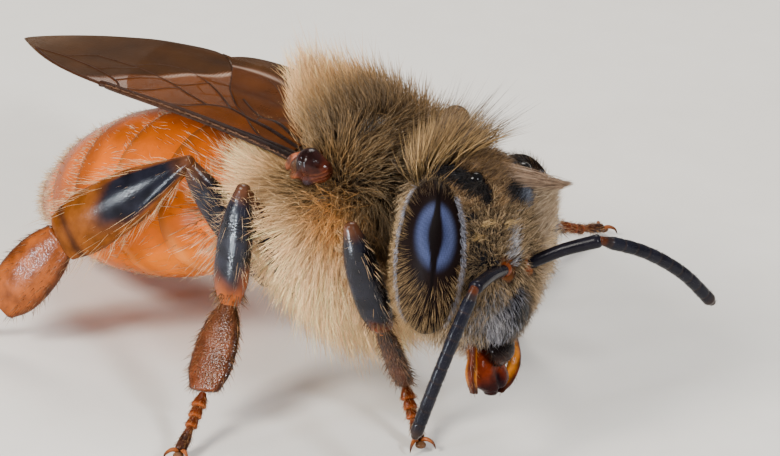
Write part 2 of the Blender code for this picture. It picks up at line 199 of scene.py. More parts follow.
def thorax_at(n):
    """A place on the bare thorax in the direction n, with its furrows."""
    n = np.asarray(n, float)
    swell = 1 + 0.02 * np.sin(9 * n[..., 0]) * np.cos(7 * n[..., 1])
    furrow = hump((n[..., 0] + 0.45) / 0.06) * step(0.2, 0.6, n[..., 2])
    waist = hump((n[..., 0] + 1.0) / 0.3)
    return SHELL_MIDDLE + n * SHELL_HALF * (swell - 0.05 * furrow - 0.06 * waist)[..., None]


rings, top, foot = ball(72, 48)
points, faces = loft(thorax_at(rings), thorax_at(top), thorax_at(foot))
black_hull = shell_look("black_hull", rough=0.42, gleam=0.5, shade=(0.6, 1.4))
piece("thorax_shell", points, faces, black_hull, [0.020, 0.016, 0.013], ("thorax",))

# ---------------------------------------------------------------------------
# Thorax coat. Branched straw-coloured hairs rooted all over the plates, in small
# locks. They part at the wing roots, comb forward to the head, back to the waist
# and down the flanks, and are palest on the sides.
# ---------------------------------------------------------------------------
COAT_HAIRS = 47000
HAIR_SIDES = 3
HAIR_TRIANGLES = 190000
PATCH = 0.003
PALE_STRAW = np.array([0.93, 0.56, 0.27])
GOLD = np.array([0.56, 0.305, 0.105])
OLIVE = np.array([0.135, 0.096, 0.052])
DUSK = np.array([0.10, 0.062, 0.030])
RUST = np.array([0.74, 0.29, 0.040])


def mix(a, b, share):
    """From tint a to tint b by a share between 0 and 1."""
    share = np.asarray(share, float)[..., None]
    return np.asarray(a, float) * (1 - share) + np.asarray(b, float) * share


def laid_on(way, out):
    """A way laid down on the skin, given the way out of the skin."""
    return unit(way - out * (way * out).sum(1, keepdims=True))


def hair_look(name, rough):
    """A hair's own tint, with faint bands along it as its side branches catch the light."""
    nodes, links, skin, place, tint = tinted_look(name)
    bands = noise(nodes, links, place, 9000.0, 4.0)
    colour_skin(nodes, links, skin, tint, carry(nodes, links, bands, (0.3, 0.7), (0.78, 1.2)))
    emboss(nodes, links, skin, bands, 0.3, 2e-6)
    skin.inputs["Roughness"].default_value = rough
    skin.inputs["Specular IOR Level"].default_value = 0.35
    return bpy.data.materials[name]


def hair_faces(rows):
    """The triangles of one hair: a base, its sides over rings of points, and its point."""
    base = [[0, 2, 1]]
    sides = []
    for low in range(0, (rows - 1) * HAIR_SIDES, HAIR_SIDES):
        for i in range(HAIR_SIDES):
            j = (i + 1) % HAIR_SIDES
            high = low + HAIR_SIDES
            sides += [[low + i, low + j, high + j], [low + i, high + j, high + i]]
    last = (rows - 1) * HAIR_SIDES
    tip = rows * HAIR_SIDES
    return np.array(base + sides + [[last + i, last + (i + 1) % HAIR_SIDES, tip] for i in range(HAIR_SIDES)])


def lay_hair(name, roots, aim, bend, length, thick, low, high, place, look, stages=(0.0, 0.5)):
    """Tapered three-sided hairs, each closed and curved, joined into pieces of a set size.

    aim is the way a hair leaves the skin and bend what it curves towards, low and high the
    tints of root and tip, place the root's spot on the unwrapped skin, and stages the shares
    of its length at which a hair has a ring of points.
    """
    count = len(roots)
    stages = np.array(stages)
    rows = len(stages)
    aim = unit(aim)
    t = stages[None, :, None]
    reach = np.asarray(length)[:, None, None]
    line = roots[:, None] + reach * (aim[:, None] * t + bend[:, None] * t**2)
    tip = roots + reach[:, 0] * (aim + bend)
    side = unit(np.cross(aim, chance.normal(size=(count, 3))))
    other = np.cross(aim, side)
    turn = 2 * np.pi * np.arange(HAIR_SIDES) / HAIR_SIDES
    spoke = side[:, None] * np.cos(turn)[None, :, None] + other[:, None] * np.sin(turn)[None, :, None]
    taper = (1 - 0.62 * stages**1.3)[None, :, None, None] * np.broadcast_to(thick, count)[:, None, None, None]
    body = line[:, :, None] + spoke[:, None] * taper
    points = np.concatenate([body.reshape(count, -1, 3), tip[:, None]], 1)
    along = np.append(np.repeat(stages, HAIR_SIDES), 1.0)
    tints = low[:, None] * (1 - along[None, :, None]) + high[:, None] * along[None, :, None]
    around = np.append(np.tile(np.arange(HAIR_SIDES) / HAIR_SIDES, rows), 0.5)
    spot = place[:, None] + np.stack([(around - 0.5) * PATCH, (along - 0.5) * PATCH], -1)[None]
    per = rows * HAIR_SIDES + 1
    one = hair_faces(rows)
    groups = max(1, math.ceil(count / (HAIR_TRIANGLES // len(one))))
    for k in range(groups):
        pick = np.arange(k, count, groups)
        corner = (np.arange(len(pick))[:, None, None] * per + one[None]).reshape(-1)
        mesh = bpy.data.meshes.new(name)
        mesh.vertices.add(len(pick) * per)
        mesh.vertices.foreach_set("co", ((points[pick] + THORAX) * MM).astype(np.float32).ravel())
        mesh.loops.add(len(corner))
        mesh.loops.foreach_set("vertex_index", corner.astype(np.int32))
        mesh.polygons.add(len(corner) // 3)
        mesh.polygons.foreach_set("loop_start", np.arange(0, len(corner), 3, dtype=np.int32))
        mesh.polygons.foreach_set("use_smooth", np.ones(len(corner) // 3, bool))
        mesh.update(calc_edges=True)
        paint(mesh, tints[pick].reshape(-1, 3))
        unwrap = mesh.uv_layers.new(name="OFBake")
        unwrap.data.foreach_set("uv", spot[pick].reshape(-1, 2)[corner].astype(np.float32).ravel())
        mesh.materials.append(look)
        item = bpy.data.objects.new("%s_%d" % (name, k + 1), mesh)
        bpy.context.scene.collection.objects.link(item)
        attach(item, "root")


def gather(roots, locks, pull):
    """The bend that draws each hair's tip towards the middle of its lock, and which lock it is in."""
    centres = roots[chance.choice(len(roots), locks, replace=False)]
    near = np.empty(len(roots), int)
    at_once = 2000
    for k in range(0, len(roots), at_once):
        part = roots[k : k + at_once]
        gap = (part**2).sum(1)[:, None] - 2 * part @ centres.T + (centres**2).sum(1)[None]
        near[k : k + at_once] = gap.argmin(1)
    return (centres[near] - roots) * pull, near


def spot_round(way):
    """Where a way out of a round piece comes on the unwrap of its skin."""
    return np.stack([np.arctan2(way[:, 1], way[:, 0]) / (2 * np.pi) + 0.5, (way[:, 2] + 1) / 2], 1)


def even_directions(count):
    """Directions spread evenly over the whole round."""
    k = np.arange(count) + 0.5
    z = 1 - 2 * k / count
    turn = np.pi * (1 + 5**0.5) * k
    flat = np.sqrt(1 - z * z)
    return np.stack([flat * np.cos(turn), flat * np.sin(turn), z], 1)


def on_crest(n):
    """1 along the middle of the back, where the coat is worn thin."""
    return step(0.60, 0.90, n[:, 2]) * step(0.80, 0.30, np.abs(n[:, 0] - 0.15))


def about(n, way, width):
    """1 where the ways n out of the thorax meet one way, less away from it."""
    return hump(np.linalg.norm(n - unit(way), axis=1) / width)


straw_hair = hair_look("straw_hair", rough=0.55)
n = unit(even_directions(COAT_HAIRS) + chance.normal(scale=0.012, size=(COAT_HAIRS, 3)))
behind_head = (n[:, 0] > 0.86) & (np.abs(n[:, 2]) < 0.45)
n = n[(chance.random(COAT_HAIRS) > 0.45 * on_crest(n)) & ~behind_head]
count = len(n)
roots = thorax_at(n)
out = unit(n / SHELL_HALF)

# where on the coat each hair is: one side or the other, and shares of the regions that differ
side = np.where(n[:, 1] < 0, -1.0, 1.0)
crest = on_crest(n)
near_hinge = about(n, np.stack([0.13 + 0 * side, 0.80 * side, 0.58 + 0 * side], 1), 0.20)
tangled = about(n, np.stack([0.27 + 0 * side, 0.87 * side, 0.30 + 0 * side], 1), 0.34)
over = step(0.30, 0.75, n[:, 2])
fall = step(0.15, -0.6, n[:, 2])
ahead = step(-0.35, 0.55, n[:, 0])
rear = step(-0.15, -0.7, n[:, 0]) * step(-0.1, 0.4, n[:, 2])
parting = hump((n[:, 2] - 0.48) / 0.16) * step(0.3, 0.0, rear)
low_flank = step(-0.1, -0.7, n[:, 2])
neck_edge = step(0.62, 0.85, n[:, 0]) * step(0.5, 0.2, n[:, 2])

# the way the hairs lie, how far they lean, and how they bend
flank_way = np.stack([0.95 * ahead - 0.75, 0.15 * side, -0.30 - 0.15 * ahead], 1)
crest_way = np.stack([2.0 * ahead - 1.15, 0.35 * n[:, 1], 0.25 + 0.9 * (1 - ahead)], 1)
flow = mix(flank_way, crest_way, over)
flow = flow + np.array([0.25, 0.0, -0.9]) * fall[:, None] + np.array([-0.5, 0.0, 0.9]) * rear[:, None]
flow = flow - out * (flow * out).sum(1, keepdims=True)
swirl = np.stack([np.sin(5 * n[:, 2] + 3 * n[:, 0]), 0 * side, np.cos(6 * n[:, 0] - 4 * n[:, 2])], 1)
flow = unit(flow + 0.16 * swirl)
lean = 0.70 + 0.20 * step(0.5, -0.2, n[:, 2]) - 0.30 * rear - 0.15 * over - 0.30 * parting
lean = lean * (0.8 + 0.4 * chance.random(count)) * (1 - 0.5 * tangled)
aim = out * np.cos(lean)[:, None] + flow * np.sin(lean)[:, None]
aim = unit(aim + chance.normal(size=(count, 3)) * (0.19 + 0.30 * tangled)[:, None])
drawn, lock = gather(roots, count // 15, 0.42)
length = (0.70 + 0.36 * chance.random(count) ** 1.5) * (1 + 0.22 * rear + 0.22 * low_flank)
length *= (1 - 0.22 * crest) * (1 - 0.45 * neck_edge)
length *= (1 - (0.45 - 0.17 * side) * near_hinge) * (1 - 0.35 * tangled)
sweep = np.stack([0.34 * fall, 0 * fall, -0.10 * fall + 0.15 * over], 1)
bend = flow * (0.20 - 0.16 * tangled)[:, None] + sweep + drawn / length[:, None]
bend = bend + chance.normal(size=(count, 3)) * (0.12 + 0.10 * tangled)[:, None]

# tints: pale flanks, gold above, olive on the shield, dusk on the crest and neck, rust at the hinges
tone = mix(GOLD, PALE_STRAW, np.clip(step(0.55, 0.0, n[:, 2]) + rear, 0, 1))
shield = step(0.10, 0.42, n[:, 2]) * step(-0.42, -0.05, n[:, 0])
tone = mix(tone, OLIVE, 0.86 * shield * chance.random(count) ** 0.5)
front_crest = crest * step(-0.25, 0.1, n[:, 0])
tone = mix(tone, DUSK, 0.88 * front_crest * (0.5 + 0.5 * chance.random(count)))
neck = step(0.25, 0.55, n[:, 0]) * step(-0.15, 0.25, n[:, 2])
tone = mix(tone, DUSK, 0.90 * neck * chance.random(count) ** 0.4)
collar = step(0.35, 0.65, n[:, 0]) * step(-0.60, -0.15, n[:, 2])
tone = mix(tone, OLIVE * 1.1, 0.80 * collar * chance.random(count) ** 0.5)
for across in (-0.86, 0.86):
    tone = mix(tone, RUST, 0.72 * about(n, (0.42, across, 0.24), 0.21))
lock_shade = 0.72 + 0.50 * chance.random(count)
tone = tone * lock_shade[lock][:, None] * (0.66 + 0.58 * chance.random(count))[:, None]
thick = 0.0066 * (0.7 + 0.6 * chance.random(count))

# the folded right wing lies close over the coat behind its hinge, so no hair there reaches past it
RIGHT_WING_ROOT = np.array([0.10, -1.58, 1.08])
RIGHT_WING_TIP = np.array([-8.80, -0.18, 0.44])
RIGHT_WING_ACROSS = np.array([0.2, 1.0, 0.0])
wing_way = unit(RIGHT_WING_TIP - RIGHT_WING_ROOT)
wing_across = unit(RIGHT_WING_ACROSS - wing_way * (wing_way @ RIGHT_WING_ACROSS))
wing_up = np.cross(wing_across, wing_way)
reached = np.ones(count)
stray = 0.45 * chance.random(count) ** 3 - 0.04
for t in (0.9, 0.75, 0.6, 0.45, 0.3, 0.15):
    at = roots + length[:, None] * (aim * t + bend * t**2)
    off = at - RIGHT_WING_ROOT
    above = off @ wing_up > -0.10
    rearward = at[:, 0] + at[:, 1] + 1.12 + 0.64 * (at[:, 2] - 0.76) + stray
    outboard = (off @ wing_way > 0.25) & (off @ wing_across < 0.35)
    reached = np.where(above & ((rearward < 0) | outboard), t, reached)
length = length * reached
keep = (reached > 0.2) | (n[:, 1] > 0)
lay_hair(
    "thorax_coat", roots[keep], aim[keep], bend[keep], length[keep], thick[keep], (tone * 0.36)[keep],
    np.minimum(tone * 1.14, 0.95)[keep], spot_round(n)[keep], straw_hair, stages=(0.0, 0.45, 0.8),
)

# ---------------------------------------------------------------------------
# Head capsule. A hard black box hung on the neck, flat in front, with a bulging
# shield over the mouth, two pits where the feelers plug in, a fine seam down the
# forehead and three glassy simple eyes on the crown.
# ---------------------------------------------------------------------------
HEAD_CENTRE = np.array([2.88, -0.30, 0.08])
HEAD_FRAME = np.array(Euler([math.radians(a) for a in (-14.5, -4, 12.5)]).to_matrix())
HEAD_SLICES = (  # height, half width, half depth, middle of the depth
    (1.735, 0.20, 0.12, 0.00),
    (1.66, 0.52, 0.33, 0.00),
    (1.42, 1.08, 0.64, 0.04),
    (1.05, 1.38, 0.81, 0.07),
    (0.50, 1.40, 0.90, 0.10),
    (-0.10, 1.36, 0.93, 0.13),
    (-0.60, 1.22, 0.90, 0.18),
    (-1.10, 0.96, 0.80, 0.25),
    (-1.50, 0.72, 0.61, 0.31),
    (-1.68, 0.50, 0.40, 0.35),
    (-1.74, 0.22, 0.18, 0.37),
)
SOCKETS = ((0.36, -0.20), (-0.36, -0.20))


def on_head(place):
    """Places given in the head's own frame (x ahead, y to its left, z up), put on the model."""
    return np.asarray(place, float) @ HEAD_FRAME.T + HEAD_CENTRE


def from_head(place):
    """Places on the model, given back in the head's own frame."""
    return (np.asarray(place, float) - HEAD_CENTRE) @ HEAD_FRAME


def curve_through(knots, count):
    """A smooth run of points through the knots."""
    knots = np.asarray(knots, float)
    ends = np.concatenate([[2 * knots[0] - knots[1]], knots, [2 * knots[-1] - knots[-2]]])
    u = np.linspace(0, len(knots) - 1, count)
    k = np.minimum(u.astype(int), len(knots) - 2)
    t = (u - k)[:, None]
    a, b, c, d = ends[k], ends[k + 1], ends[k + 2], ends[k + 3]
    squared = (2 * a - 5 * b + 4 * c - d) * t**2
    cubed = (3 * b - a - 3 * c + d) * t**3
    return 0.5 * (2 * b + (c - a) * t + squared + cubed)


def scatter(points, faces, count, wanted=None):
    """Random places on a skin, with the way out of it; wanted thins them by place."""
    flat = np.array([[f[0], f[k], f[k + 1]] for f in faces for k in range(1, len(f) - 1)])
    corner = np.asarray(points)[flat]
    across = np.cross(corner[:, 1] - corner[:, 0], corner[:, 2] - corner[:, 0])
    share = np.linalg.norm(across, axis=1)
    if wanted is not None:
        share = share * np.clip(wanted(corner.mean(1)), 0, None)
    pick = chance.choice(len(flat), count, p=share / share.sum())
    a, b = chance.random((2, count))
    fold = a + b > 1
    a = np.where(fold, 1 - a, a)[:, None]
    b = np.where(fold, 1 - b, b)[:, None]
    first, second, third = (corner[pick, k] for k in range(3))
    return first + a * (second - first) + b * (third - first), unit(across[pick])


def shield_edge(y, z):
    """1 on the rim of the mouth shield, less inside it."""
    return np.hypot(y / (0.36 + 0.30 * step(-0.45, -1.25, z)), (z + 1.03) / 0.58)


def face_relief(p):
    """How far the face stands out from the plain box: mouth shield, feeler pits and forehead seam."""
    x, y, z = p[..., 0], p[..., 1], p[..., 2]
    inside = shield_edge(y, z)
    rise = 0.13 * step(1.05, 0.25, inside) - 0.035 * hump((inside - 1.04) / 0.05)
    for side, height in SOCKETS:
        gap = np.hypot(y - side, z - height)
        rise = rise - 0.07 * hump(gap / 0.12) + 0.035 * hump((gap - 0.185) / 0.04)
    seam = -0.03 * hump(y / 0.035) * step(0.0, 0.15, z) * step(1.25, 1.0, z)
    scoop = -0.10 * hump((np.abs(y) - 0.42) / 0.28, (z - 0.12) / 0.42)
    return step(0.35, 0.8, x) * (rise + seam + scoop)


def squared_round(turn, power):
    """A turn's place on a circle, pressed towards a square as the power falls below 1."""
    across = np.sign(np.cos(turn)) * np.abs(np.cos(turn)) ** power
    return across, np.sign(np.sin(turn)) * np.abs(np.sin(turn)) ** power


height, half_width, half_depth, middle_depth = curve_through(HEAD_SLICES, 72).T[:, :, None]
depth_way, width_way = squared_round(2 * np.pi * np.arange(120) / 120, 0.74)
rings = np.stack(
    [middle_depth + half_depth * depth_way, half_width * width_way, height + 0 * depth_way], -1
)
rings[..., 0] += face_relief(rings)
points, head_faces = loft(rings, (0.0, 0, 1.745), (0.37, 0, -1.75))
head_points = on_head(points)
x, y, z = points.T
SOCKET_BROWN = np.array([0.16, 0.055, 0.015])
socket_ring = sum(hump((np.hypot(y - side, z - height) - 0.17) / 0.05) for side, height in SOCKETS)
tint = mix([0.006, 0.006, 0.008], SOCKET_BROWN, 0.85 * np.clip(socket_ring, 0, 1) * step(0.3, 0.8, x))
tint = mix(tint, SOCKET_BROWN * 0.25, 0.75 * step(-1.50, -1.66, z))
horn_black = shell_look("horn_black", rough=0.26, gleam=0.07, shade=(0.6, 1.4))
piece("head_capsule", head_points, head_faces, horn_black, tint, ("head",))

SIMPLE_EYES = ((0.66, 0.0, 1.36), (0.50, 0.80, 1.36), (0.50, -0.80, 1.36))
SIMPLE_EYE_HALF = np.array([0.15, 0.15, 0.1425])
bead_glass = shell_look("bead_glass", 0.04, 0.35, (0.7, 1.25), patch=1500.0, grain=60000.0, depth=1e-6)
for k, place in enumerate(SIMPLE_EYES):
    points, faces = loft(*ball(28, 16, SIMPLE_EYE_HALF))
    piece("simple_eye_%d" % (k + 1), on_head(points + place), faces, bead_glass, [0.004, 0.003, 0.003])

# ---------------------------------------------------------------------------
# Compound eyes. Tall domes of some seven thousand lenses each, nearly black. On the
# lenses that face the gaze a slate blue is painted, a painted reflection, with a painted
# dark spindle between that seems to look out. Fine hairs stand between the lenses.
# ---------------------------------------------------------------------------
EYE_HALF = np.array([0.76, 0.52, 1.36])
EYE_OUT = 1.41
EYE_LEAN = math.radians(20)
EYE_RISE = {-1: 0.0, 1: 0.15}
SIDES = ((-1, "right"), (1, "left"))
GAZE = (0.62, 0.70, 0.36)
PAINTED_REFLECTION_MIDDLE = 0.09
LENSES_PER_METRE = 30000.0


def eye_turn(side):
    """How an eye is turned on the model."""
    return HEAD_FRAME @ np.array(Euler((0, 0, side * EYE_LEAN)).to_matrix())


def on_eye(place, side):
    """Places given in an eye's own frame, put on the model."""
    return place @ eye_turn(side).T + on_head((0.08, side * EYE_OUT, EYE_RISE[side]))


def gaze_of(n, side):
    """How far sideways and upward the lenses look from the middle of the painted reflection, and its edge."""
    gaze = unit(np.multiply(GAZE, (1, side, 1)))
    across = unit(np.cross((0, 0, 1), gaze)) * -side
    sideways = n @ across - PAINTED_REFLECTION_MIDDLE
    upward = n @ np.cross(gaze, across) * -side
    return sideways, upward, n @ gaze, np.hypot(sideways / 0.63, (upward - 0.03) / 0.50)


nodes, links, skin, place, tint_in = tinted_look("lens_glass")
lenses = cells(nodes, links, place, LENSES_PER_METRE, 0.35)
colour_skin(nodes, links, skin, tint_in, carry(nodes, links, lenses, (0.0, 0.7), (1.12, 0.72)))
haze = noise(nodes, links, place, 1800.0, 2.0)
links.new(carry(nodes, links, haze, (0.0, 1.0), (0.38, 0.52)), skin.inputs["Roughness"])
emboss(nodes, links, skin, lenses, 0.22, 5e-6).invert = True
skin.inputs["Specular IOR Level"].default_value = 0.03

for side, word in SIDES:
    points, faces = loft(*ball(128, 96, EYE_HALF))
    sideways, upward, facing, painted_reflection_edge = gaze_of(points / EYE_HALF, side)
    facing = step(0.1, 0.4, facing)
    painted_spindle = np.abs(sideways) / (0.062 + 0.125 * hump((upward - 0.01) / 0.27))
    # painted reflection: two slate blue crescents on the lenses that face the gaze, with a painted dark
    # spindle between them
    painted_blue_reflection = mix([0.024, 0.030, 0.070], [0.044, 0.055, 0.120], step(0.3, 0.75, painted_reflection_edge))
    tint = mix([0.004, 0.002, 0.002], [0.007, 0.0035, 0.003], step(0.75, 1.15, painted_reflection_edge))
    tint = mix(tint, painted_blue_reflection, step(1.04, 0.66, painted_reflection_edge) * step(0.80, 1.45, painted_spindle) * facing)
    tint = mix(tint, [0.003, 0.0014, 0.0014], step(1.1, 0.8, painted_spindle) * facing)
    lens_glass = bpy.data.materials["lens_glass"]
    piece("compound_eye_" + word, on_eye(points, side), faces, lens_glass, tint, ("eye_" + word,))

# ---------------------------------------------------------------------------
# Face and crown hair. Short felt on the forehead, silver hairs on the eye borders and
# the mouth shield, long dark ones on the crown and pale fringes on the cheeks, each
# rooted in a pit of the head's horn.
# ---------------------------------------------------------------------------
def spot_on_head(root):
    """Where a root on the head comes on the unwrap of its skin."""
    return spot_round(unit(from_head(root)))


def comb_head(
    name, count, wanted, lie, lean, length, thick, tones, curl=0.2, pull=0.0, ruffle=0.15, locks=14
):
    """Hairs on the head: where, which way they lie, how far they lean, and their tints.

    pull draws them into locks of so many hairs, and ruffle is how untidy they are.
    """
    roots, out = scatter(head_points, head_faces, count, lambda middle: wanted(*from_head(middle).T))
    x, y, z = from_head(roots).T
    way = np.stack(np.broadcast_arrays(*lie(x, y, z), x)[:3], 1) @ HEAD_FRAME.T
    way = laid_on(way, out)
    tilt = lean * (0.85 + 0.3 * chance.random(count))
    aim = out * np.cos(tilt)[:, None] + way * np.sin(tilt)[:, None]
    aim = unit(aim + chance.normal(scale=ruffle, size=(count, 3)))
    far = length * (0.75 + 0.5 * chance.random(count))
    bend = way * curl + chance.normal(scale=0.06, size=(count, 3))
    shade = np.ones(count)
    if pull:
        drawn, lock = gather(roots, max(2, count // locks), pull)
        bend = bend + drawn / far[:, None]
        shade = (0.62 + 0.76 * chance.random(count))[lock]
    tone = mix(*tones, chance.random(count)) * shade[:, None]
    width = thick * (0.8 + 0.4 * chance.random(count))
    lay_hair(
        name, roots, aim, bend, far, width, tone * 0.6, tone * 1.15, spot_on_head(roots), face_hair,
        stages=(0.0, 0.55),
    )


def off_pits(y, z):
    """0 in the two pits of the feelers, 1 away from them."""
    left, right = (step(0.16, 0.24, np.hypot(y - side, z - height)) for side, height in SOCKETS)
    return left * right


def bare_crown(x, y, z):
    """0 on the polished crown round the simple eyes and down to each compound eye, 1 away from it."""
    near = np.hypot(y + 1.05 + 0.45 * (z - 1.30), (z - 1.30) * 0.75)
    far = np.hypot((y - 0.92) * 0.72, (z - 1.27) * 0.80)
    return np.maximum(step(0.25, 0.35, np.where(y < 0, near, far)), step(-0.02, -0.20, x))


def off_hollow(y, z):
    """0 in the dark hollow below the middle simple eye, 1 away from it."""
    return step(0.19, 0.28, np.hypot((y - 0.04) * 0.44, z - 1.07))


def near_cheek(y, z, width):
    """1 on the silver corner of the face under the near eye, less away from it."""
    return hump((y + 0.66) / width, (z + 0.98) / 0.38)


face_hair = hair_look("face_hair", rough=0.5)
comb_head(
    "forehead_felt", 8200,
    lambda x, y, z: step(0.35, 0.55, x) * step(1.0, 1.12, shield_edge(y, z)) * off_pits(y, z)
    * step(-1.6, -1.4, z) * bare_crown(x, y, z) * off_hollow(y, z) * step(1.30, 1.1, z)
    * (1 - 0.75 * near_cheek(y, z, 0.26)),
    lambda x, y, z: (0.1, 0.7 * y + 0.15, 0.5 - 1.2 * step(0.3, -0.5, z)),
    lean=0.80, length=0.165, thick=0.0042, tones=((0.07, 0.042, 0.020), (0.66, 0.45, 0.24)),
    pull=0.55, ruffle=0.36, locks=11,
)
comb_head(
    "brow_felt", 2600,
    lambda x, y, z: step(0.05, 0.25, x) * step(0.75, 1.0, z) * bare_crown(x, y, z) * off_hollow(y, z)
    * (1 - step(0.05, 0.25, y) * step(1.20, 1.35, z)),
    lambda x, y, z: (0.5, 0.4, 0.6),
    lean=0.8, length=0.20, thick=0.0046, tones=((0.035, 0.018, 0.009), (0.30, 0.17, 0.07)),
    pull=0.4, ruffle=0.3,
)
comb_head(
    "crown_felt", 1500,
    lambda x, y, z: (1 - bare_crown(x, y, z))
    * step(0.15, 0.20, np.hypot(x - 0.50, np.hypot(np.abs(y) - 0.80, z - 1.36))),
    lambda x, y, z: (0.6, 0.3 * np.sign(y), 0.5),
    lean=1.0, length=0.11, thick=0.0046, tones=((0.004, 0.003, 0.003), (0.022, 0.013, 0.008)),
    pull=0.3, ruffle=0.25,
)
comb_head(
    "far_cheek_fringe", 1100,
    lambda x, y, z: step(0.2, 0.35, x) * step(0.80, 0.98, y) * step(-0.7, -0.4, z) * step(1.15, 0.9, z),
    lambda x, y, z: (0.5, 0.9, 0.25 + 0.2 * z),
    lean=0.45, length=0.36, thick=0.0055, tones=((0.42, 0.29, 0.15), (0.86, 0.62, 0.36)),
    curl=0.25, pull=0.5, ruffle=0.22,
)
comb_head(
    "hollow_dark_felt", 700,
    lambda x, y, z: step(0.3, 0.5, x) * (1 - off_hollow(y, z)),
    lambda x, y, z: (0.3, 0.2, 0.6),
    lean=0.9, length=0.13, thick=0.0045, tones=((0.005, 0.004, 0.005), (0.022, 0.018, 0.018)),
    ruffle=0.25,
)
comb_head(
    "hollow_felt", 420,
    lambda x, y, z: step(0.3, 0.5, x) * hump(np.hypot(y - 0.24, z - 0.99) / 0.13),
    lambda x, y, z: (0.3, 0.2, 0.6),
    lean=0.7, length=0.14, thick=0.0036, tones=((0.05, 0.055, 0.07), (0.26, 0.28, 0.34)),
    ruffle=0.3,
)
comb_head(
    "silver_streak", 260,
    lambda x, y, z: step(0.3, 0.5, x) * hump((y + 0.24) / 0.10, (z - 0.20) / 0.26),
    lambda x, y, z: (0.3, 0.4, 0.7),
    lean=0.7, length=0.17, thick=0.0038, tones=((0.26, 0.25, 0.26), (0.66, 0.64, 0.66)),
    ruffle=0.3, pull=0.4,
)
for word, side, count, tones in (
    ("near", -1, 380, ((0.10, 0.10, 0.12), (0.60, 0.58, 0.64))),
    ("far", 1, 520, ((0.035, 0.026, 0.020), (0.30, 0.22, 0.15))),
):
    comb_head(
        "mouth_shield_down_" + word, count,
        lambda x, y, z: step(0.5, 0.7, x) * step(1.1, 0.95, shield_edge(y, z))
        * step(-0.12, 0.08, (y + 0.05) * side) * (0.35 + step(0.25, 0.9, shield_edge(y, z))),
        lambda x, y, z: (0.0, y * 0.8 + 0.25, -1.0),
        lean=1.10, length=0.16, thick=0.0028, tones=tones, ruffle=0.18, curl=0.1,
    )
comb_head(
    "crown_hair", 1300,
    lambda x, y, z: step(1.0, 1.35, z) * step(-0.9, -0.5, x) * step(0.20, 0.0, x) * bare_crown(x, y, z)
    * step(0.10, -0.25, y) * (1 - 0.8 * step(-0.60, -0.90, y) * step(-0.55, -0.30, x)),
    lambda x, y, z: (0.8, 0.50 + y * 0.3, 0.7),
    lean=0.55, length=0.66, thick=0.0060, tones=((0.03, 0.016, 0.008), (0.46, 0.28, 0.11)),
    curl=0.50, pull=0.8, ruffle=0.2, locks=9,
)
comb_head(
    "crown_strands", 110,
    lambda x, y, z: step(1.2, 1.45, z) * step(-0.7, -0.4, x) * step(0.22, 0.0, x) * step(-0.9, -0.5, y)
    * step(0.25, -0.05, y),
    lambda x, y, z: (1.0, 0.6, 0.8),
    lean=0.30, length=0.95, thick=0.0062, tones=((0.012, 0.008, 0.006), (0.12, 0.07, 0.035)),
    curl=0.55, pull=0.5, ruffle=0.18, locks=6,
)
comb_head(
    "cheek_hair", 4200,
    lambda x, y, z: step(0.0, -0.25, x) * step(1.3, 0.9, z) * (0.4 + 0.6 * step(0.2, 0.8, np.abs(y))),
    lambda x, y, z: (-0.3, np.sign(y) * 0.5, -0.8),
    lean=0.80, length=0.34, thick=0.0052, tones=((0.12, 0.075, 0.036), (0.46, 0.30, 0.15)),
    curl=0.25, pull=0.5, ruffle=0.22,
)
comb_head(
    "near_cheek_silver", 750,
    lambda x, y, z: step(0.4, 0.6, x) * near_cheek(y, z, 0.24),
    lambda x, y, z: (0.1, y * 0.5 + 0.5, -1.0),
    lean=1.0, length=0.19, thick=0.0029, tones=((0.04, 0.036, 0.036), (0.64, 0.60, 0.60)),
    ruffle=0.25, curl=0.15, pull=0.3,
)
comb_head(
    "chin_hair", 700,
    lambda x, y, z: step(-1.0, -1.3, z) * step(0.75, 0.45, x),
    lambda x, y, z: (-0.2, np.sign(y) * 0.5, -1.0),
    lean=0.7, length=0.26, thick=0.0055, tones=((0.40, 0.27, 0.15), (0.62, 0.46, 0.30)),
)

# ---------------------------------------------------------------------------
# Yellow curls. Three small locks of stiff yellow hair beside the near eye, each of
# hairs rooted close together that rise and then arch down over the forehead.
# ---------------------------------------------------------------------------
CURL_HAIRS = 20
CURLS = (  # place across and up the face, way it sets off, way it turns
    (-1.00, 0.64, (0.34, 0.55, 0.76), (0.0, 0.55, -1.05)),
    (-0.52, 0.62, (0.30, 0.60, 0.70), (0.0, 0.50, -0.95)),
    (-1.15, 0.42, (0.34, 0.62, 0.72), (0.0, 0.75, -1.10)),
)


def at_curl(middle):
    """Where the hairs of the curl now being laid grow on the head."""
    x, y, z = from_head(middle).T
    return step(0.3, 0.5, x) * hump(np.hypot(y - across, z - up) / 0.045) + 1e-12


for k, (across, up, sets_off, turns) in enumerate(CURLS):
    roots, out = scatter(head_points, head_faces, CURL_HAIRS, at_curl)
    aim = np.array(sets_off) @ HEAD_FRAME.T + chance.normal(scale=0.06, size=(CURL_HAIRS, 3))
    bend = np.array(turns) @ HEAD_FRAME.T + chance.normal(scale=0.06, size=(CURL_HAIRS, 3))
    tone = mix([0.60, 0.36, 0.12], [0.97, 0.68, 0.32], chance.random(CURL_HAIRS))
    length = 0.27 + 0.10 * chance.random(CURL_HAIRS)
    lay_hair(
        "yellow_curl_%d" % (k + 1), roots + out * 0.08, aim, bend, length, 0.0043, tone * 0.6, tone,
        spot_on_head(roots), face_hair, stages=(0.0, 0.33, 0.66),
    )

# ---------------------------------------------------------------------------
# Eye hairs. Fine golden hairs stand between the lenses, except on an eye's painted
# reflection, and a silver band of felt grows from the horn border round each compound eye.
# ---------------------------------------------------------------------------
LASHES = 2600
BORDER_HAIRS = 2000


